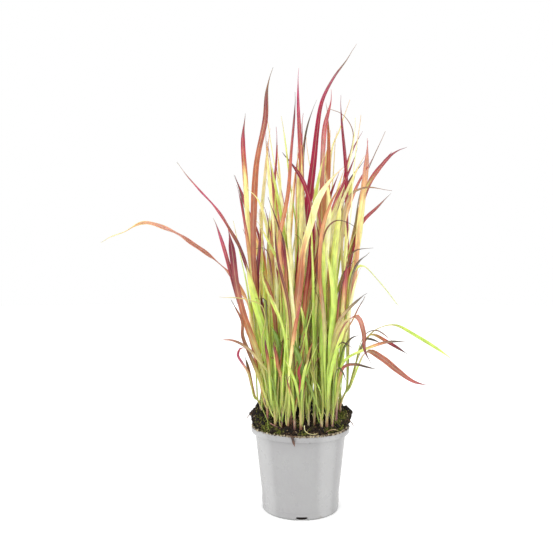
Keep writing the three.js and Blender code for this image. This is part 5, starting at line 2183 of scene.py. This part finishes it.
    def rim_band(self) -> Mesh:
        """Draws the rim's flat top.

        Returns:
            A ring marked where dust lies on it, most in front.
        """
        count, wide = self.dust_sides, len(self.dust_rings)
        angles = [TURN * k / count for k in range(count)]
        points = [spun(radius, 0, self.dust_height, angle)
                  for angle in angles for radius in self.dust_rings]
        faces = [(k * wide + i, k * wide + i + 1, (k + 1) % count * wide + i + 1,
                  (k + 1) % count * wide + i) for k in range(count) for i in range(wide - 1)]
        mesh = new_mesh("rim_band", points, faces=faces)
        store(mesh, "dust", [
            0.15 + 0.85 * smooth(-math.sin(angle), 0.3, 0.9) * smooth(math.cos(angle), -0.5, 0.1)
            for angle in angles for _ in self.dust_rings])
        return mesh

    def drain_peat(self, finish: Finish) -> Thing:
        """Shapes the lumps of peat that show in the drain notches, darkened nearly to black as painted
        shade for the hollow of each notch.

        Args:
            finish: What they are made of.

        Returns:
            The lumps, as one piece.
        """
        shape = bmesh.new()
        wide, deep, tall = self.drain_lump
        inset, rise = self.drain_place
        for index in range(self.pot.notch_count):
            for vert in bmesh.ops.create_icosphere(shape, subdivisions=4, radius=1)["verts"]:
                x, y, z = vert.co
                x = x * self.pot.notch_size[0] / 2 * wide
                y, z = y * deep - self.pot.wall_foot + inset, z * tall + rise
                y += noise.noise(Vector((x, y, z + 30 * index)) * 0.8) * 0.5
                bearing = index * TURN / self.pot.notch_count
                vert.co = Vector(spun(x, y, max(0.05, z), bearing)) * MM
        mesh = bpy.data.meshes.new("drain_peat")
        shape.to_mesh(mesh)
        shape.free()
        # Marks every point for the painted shade that darkens these lumps to a fifth.
        store(mesh, "damp", [1.0] * len(mesh.vertices))
        mesh.shade_smooth()
        return settle(new_object("drain_peat", mesh), finish)


# ---- The studio ----


@dataclass
class Studio:
    """A pale floor, a bright room, a soft light and the camera."""

    floor_radius: float = 6000
    floor_sides: int = 96
    floor_drop: float = 0.02
    light_from: Place = (-0.3, -0.9, 0.9)
    light_strength: float = 0.9
    light_spread: float = 80
    camera_place: Place = (-31.6, -820, 305)
    lens: float = 40.17
    sensor: float = 36

    def floor(self, finish: Finish) -> None:
        """Lays the floor just under the pot.

        Args:
            finish: What it is made of.
        """
        count = self.floor_sides
        points = [(0, 0, -self.floor_drop), *(
            spun(self.floor_radius, 0, -self.floor_drop, TURN * k / count) for k in range(count))]
        faces = [(0, 1 + k, 1 + (k + 1) % count) for k in range(count)]
        floor = new_object("floor", new_mesh("floor", points, faces=faces))
        floor.data.materials.append(finish.material)

    def build(self, finish: Finish) -> None:
        """Sets the whole studio up.

        Args:
            finish: What the floor is made of.
        """
        self.floor(finish)
        scene = bpy.context.scene
        world = bpy.data.worlds.new("studio")
        world.use_nodes = True
        back = world.node_tree.nodes["Background"]
        back.inputs["Color"].default_value = (1, 1, 1, 1)
        back.inputs["Strength"].default_value = 1.0
        scene.world = world
        light = bpy.data.lights.new("key", "SUN")
        light.energy, light.angle = self.light_strength, math.radians(self.light_spread)
        lamp = new_object("key", light)
        lamp.rotation_euler = Vector(self.light_from).to_track_quat("Z", "Y").to_euler()
        data = bpy.data.cameras.new("view")
        data.lens, data.sensor_width = self.lens, self.sensor
        camera = new_object("view", data)
        camera.location = Vector(self.camera_place) * MM
        camera.rotation_euler = (math.pi / 2, 0, 0)
        scene.camera = camera
        scene.view_settings.view_transform = "Standard"
        scene.view_settings.look = "None"


# ---- All of it ----


def main() -> None:
    """Builds every piece in order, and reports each."""
    logging.basicConfig(level=logging.INFO, format="%(name)s: %(message)s")
    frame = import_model()
    pot = Pot()
    pieces = [pot.build(PotFinish())]
    ball, peat = RootBall(Ground(), pot), PeatFinish()
    soil = ball.build(peat)
    pieces += [soil, ball.drain_peat(peat)]
    scatter, band = Scatter(CrumbFinish().material), ball.rim_band()
    pieces += [scatter.scatter(kind, band if kind.mark == "dust" else soil.data) for kind in KINDS]
    grass = Grass(Growth(), Sweep(LeafFinish().material, SheathFinish().material))
    pieces += [*grass.build(frame["nodes"]), grass.litter()]
    for piece in pieces:
        log.info("%s: %d faces", piece.name, len(piece.data.polygons))
    Studio().build(FloorFinish())


if __name__ == "__main__":
    main()
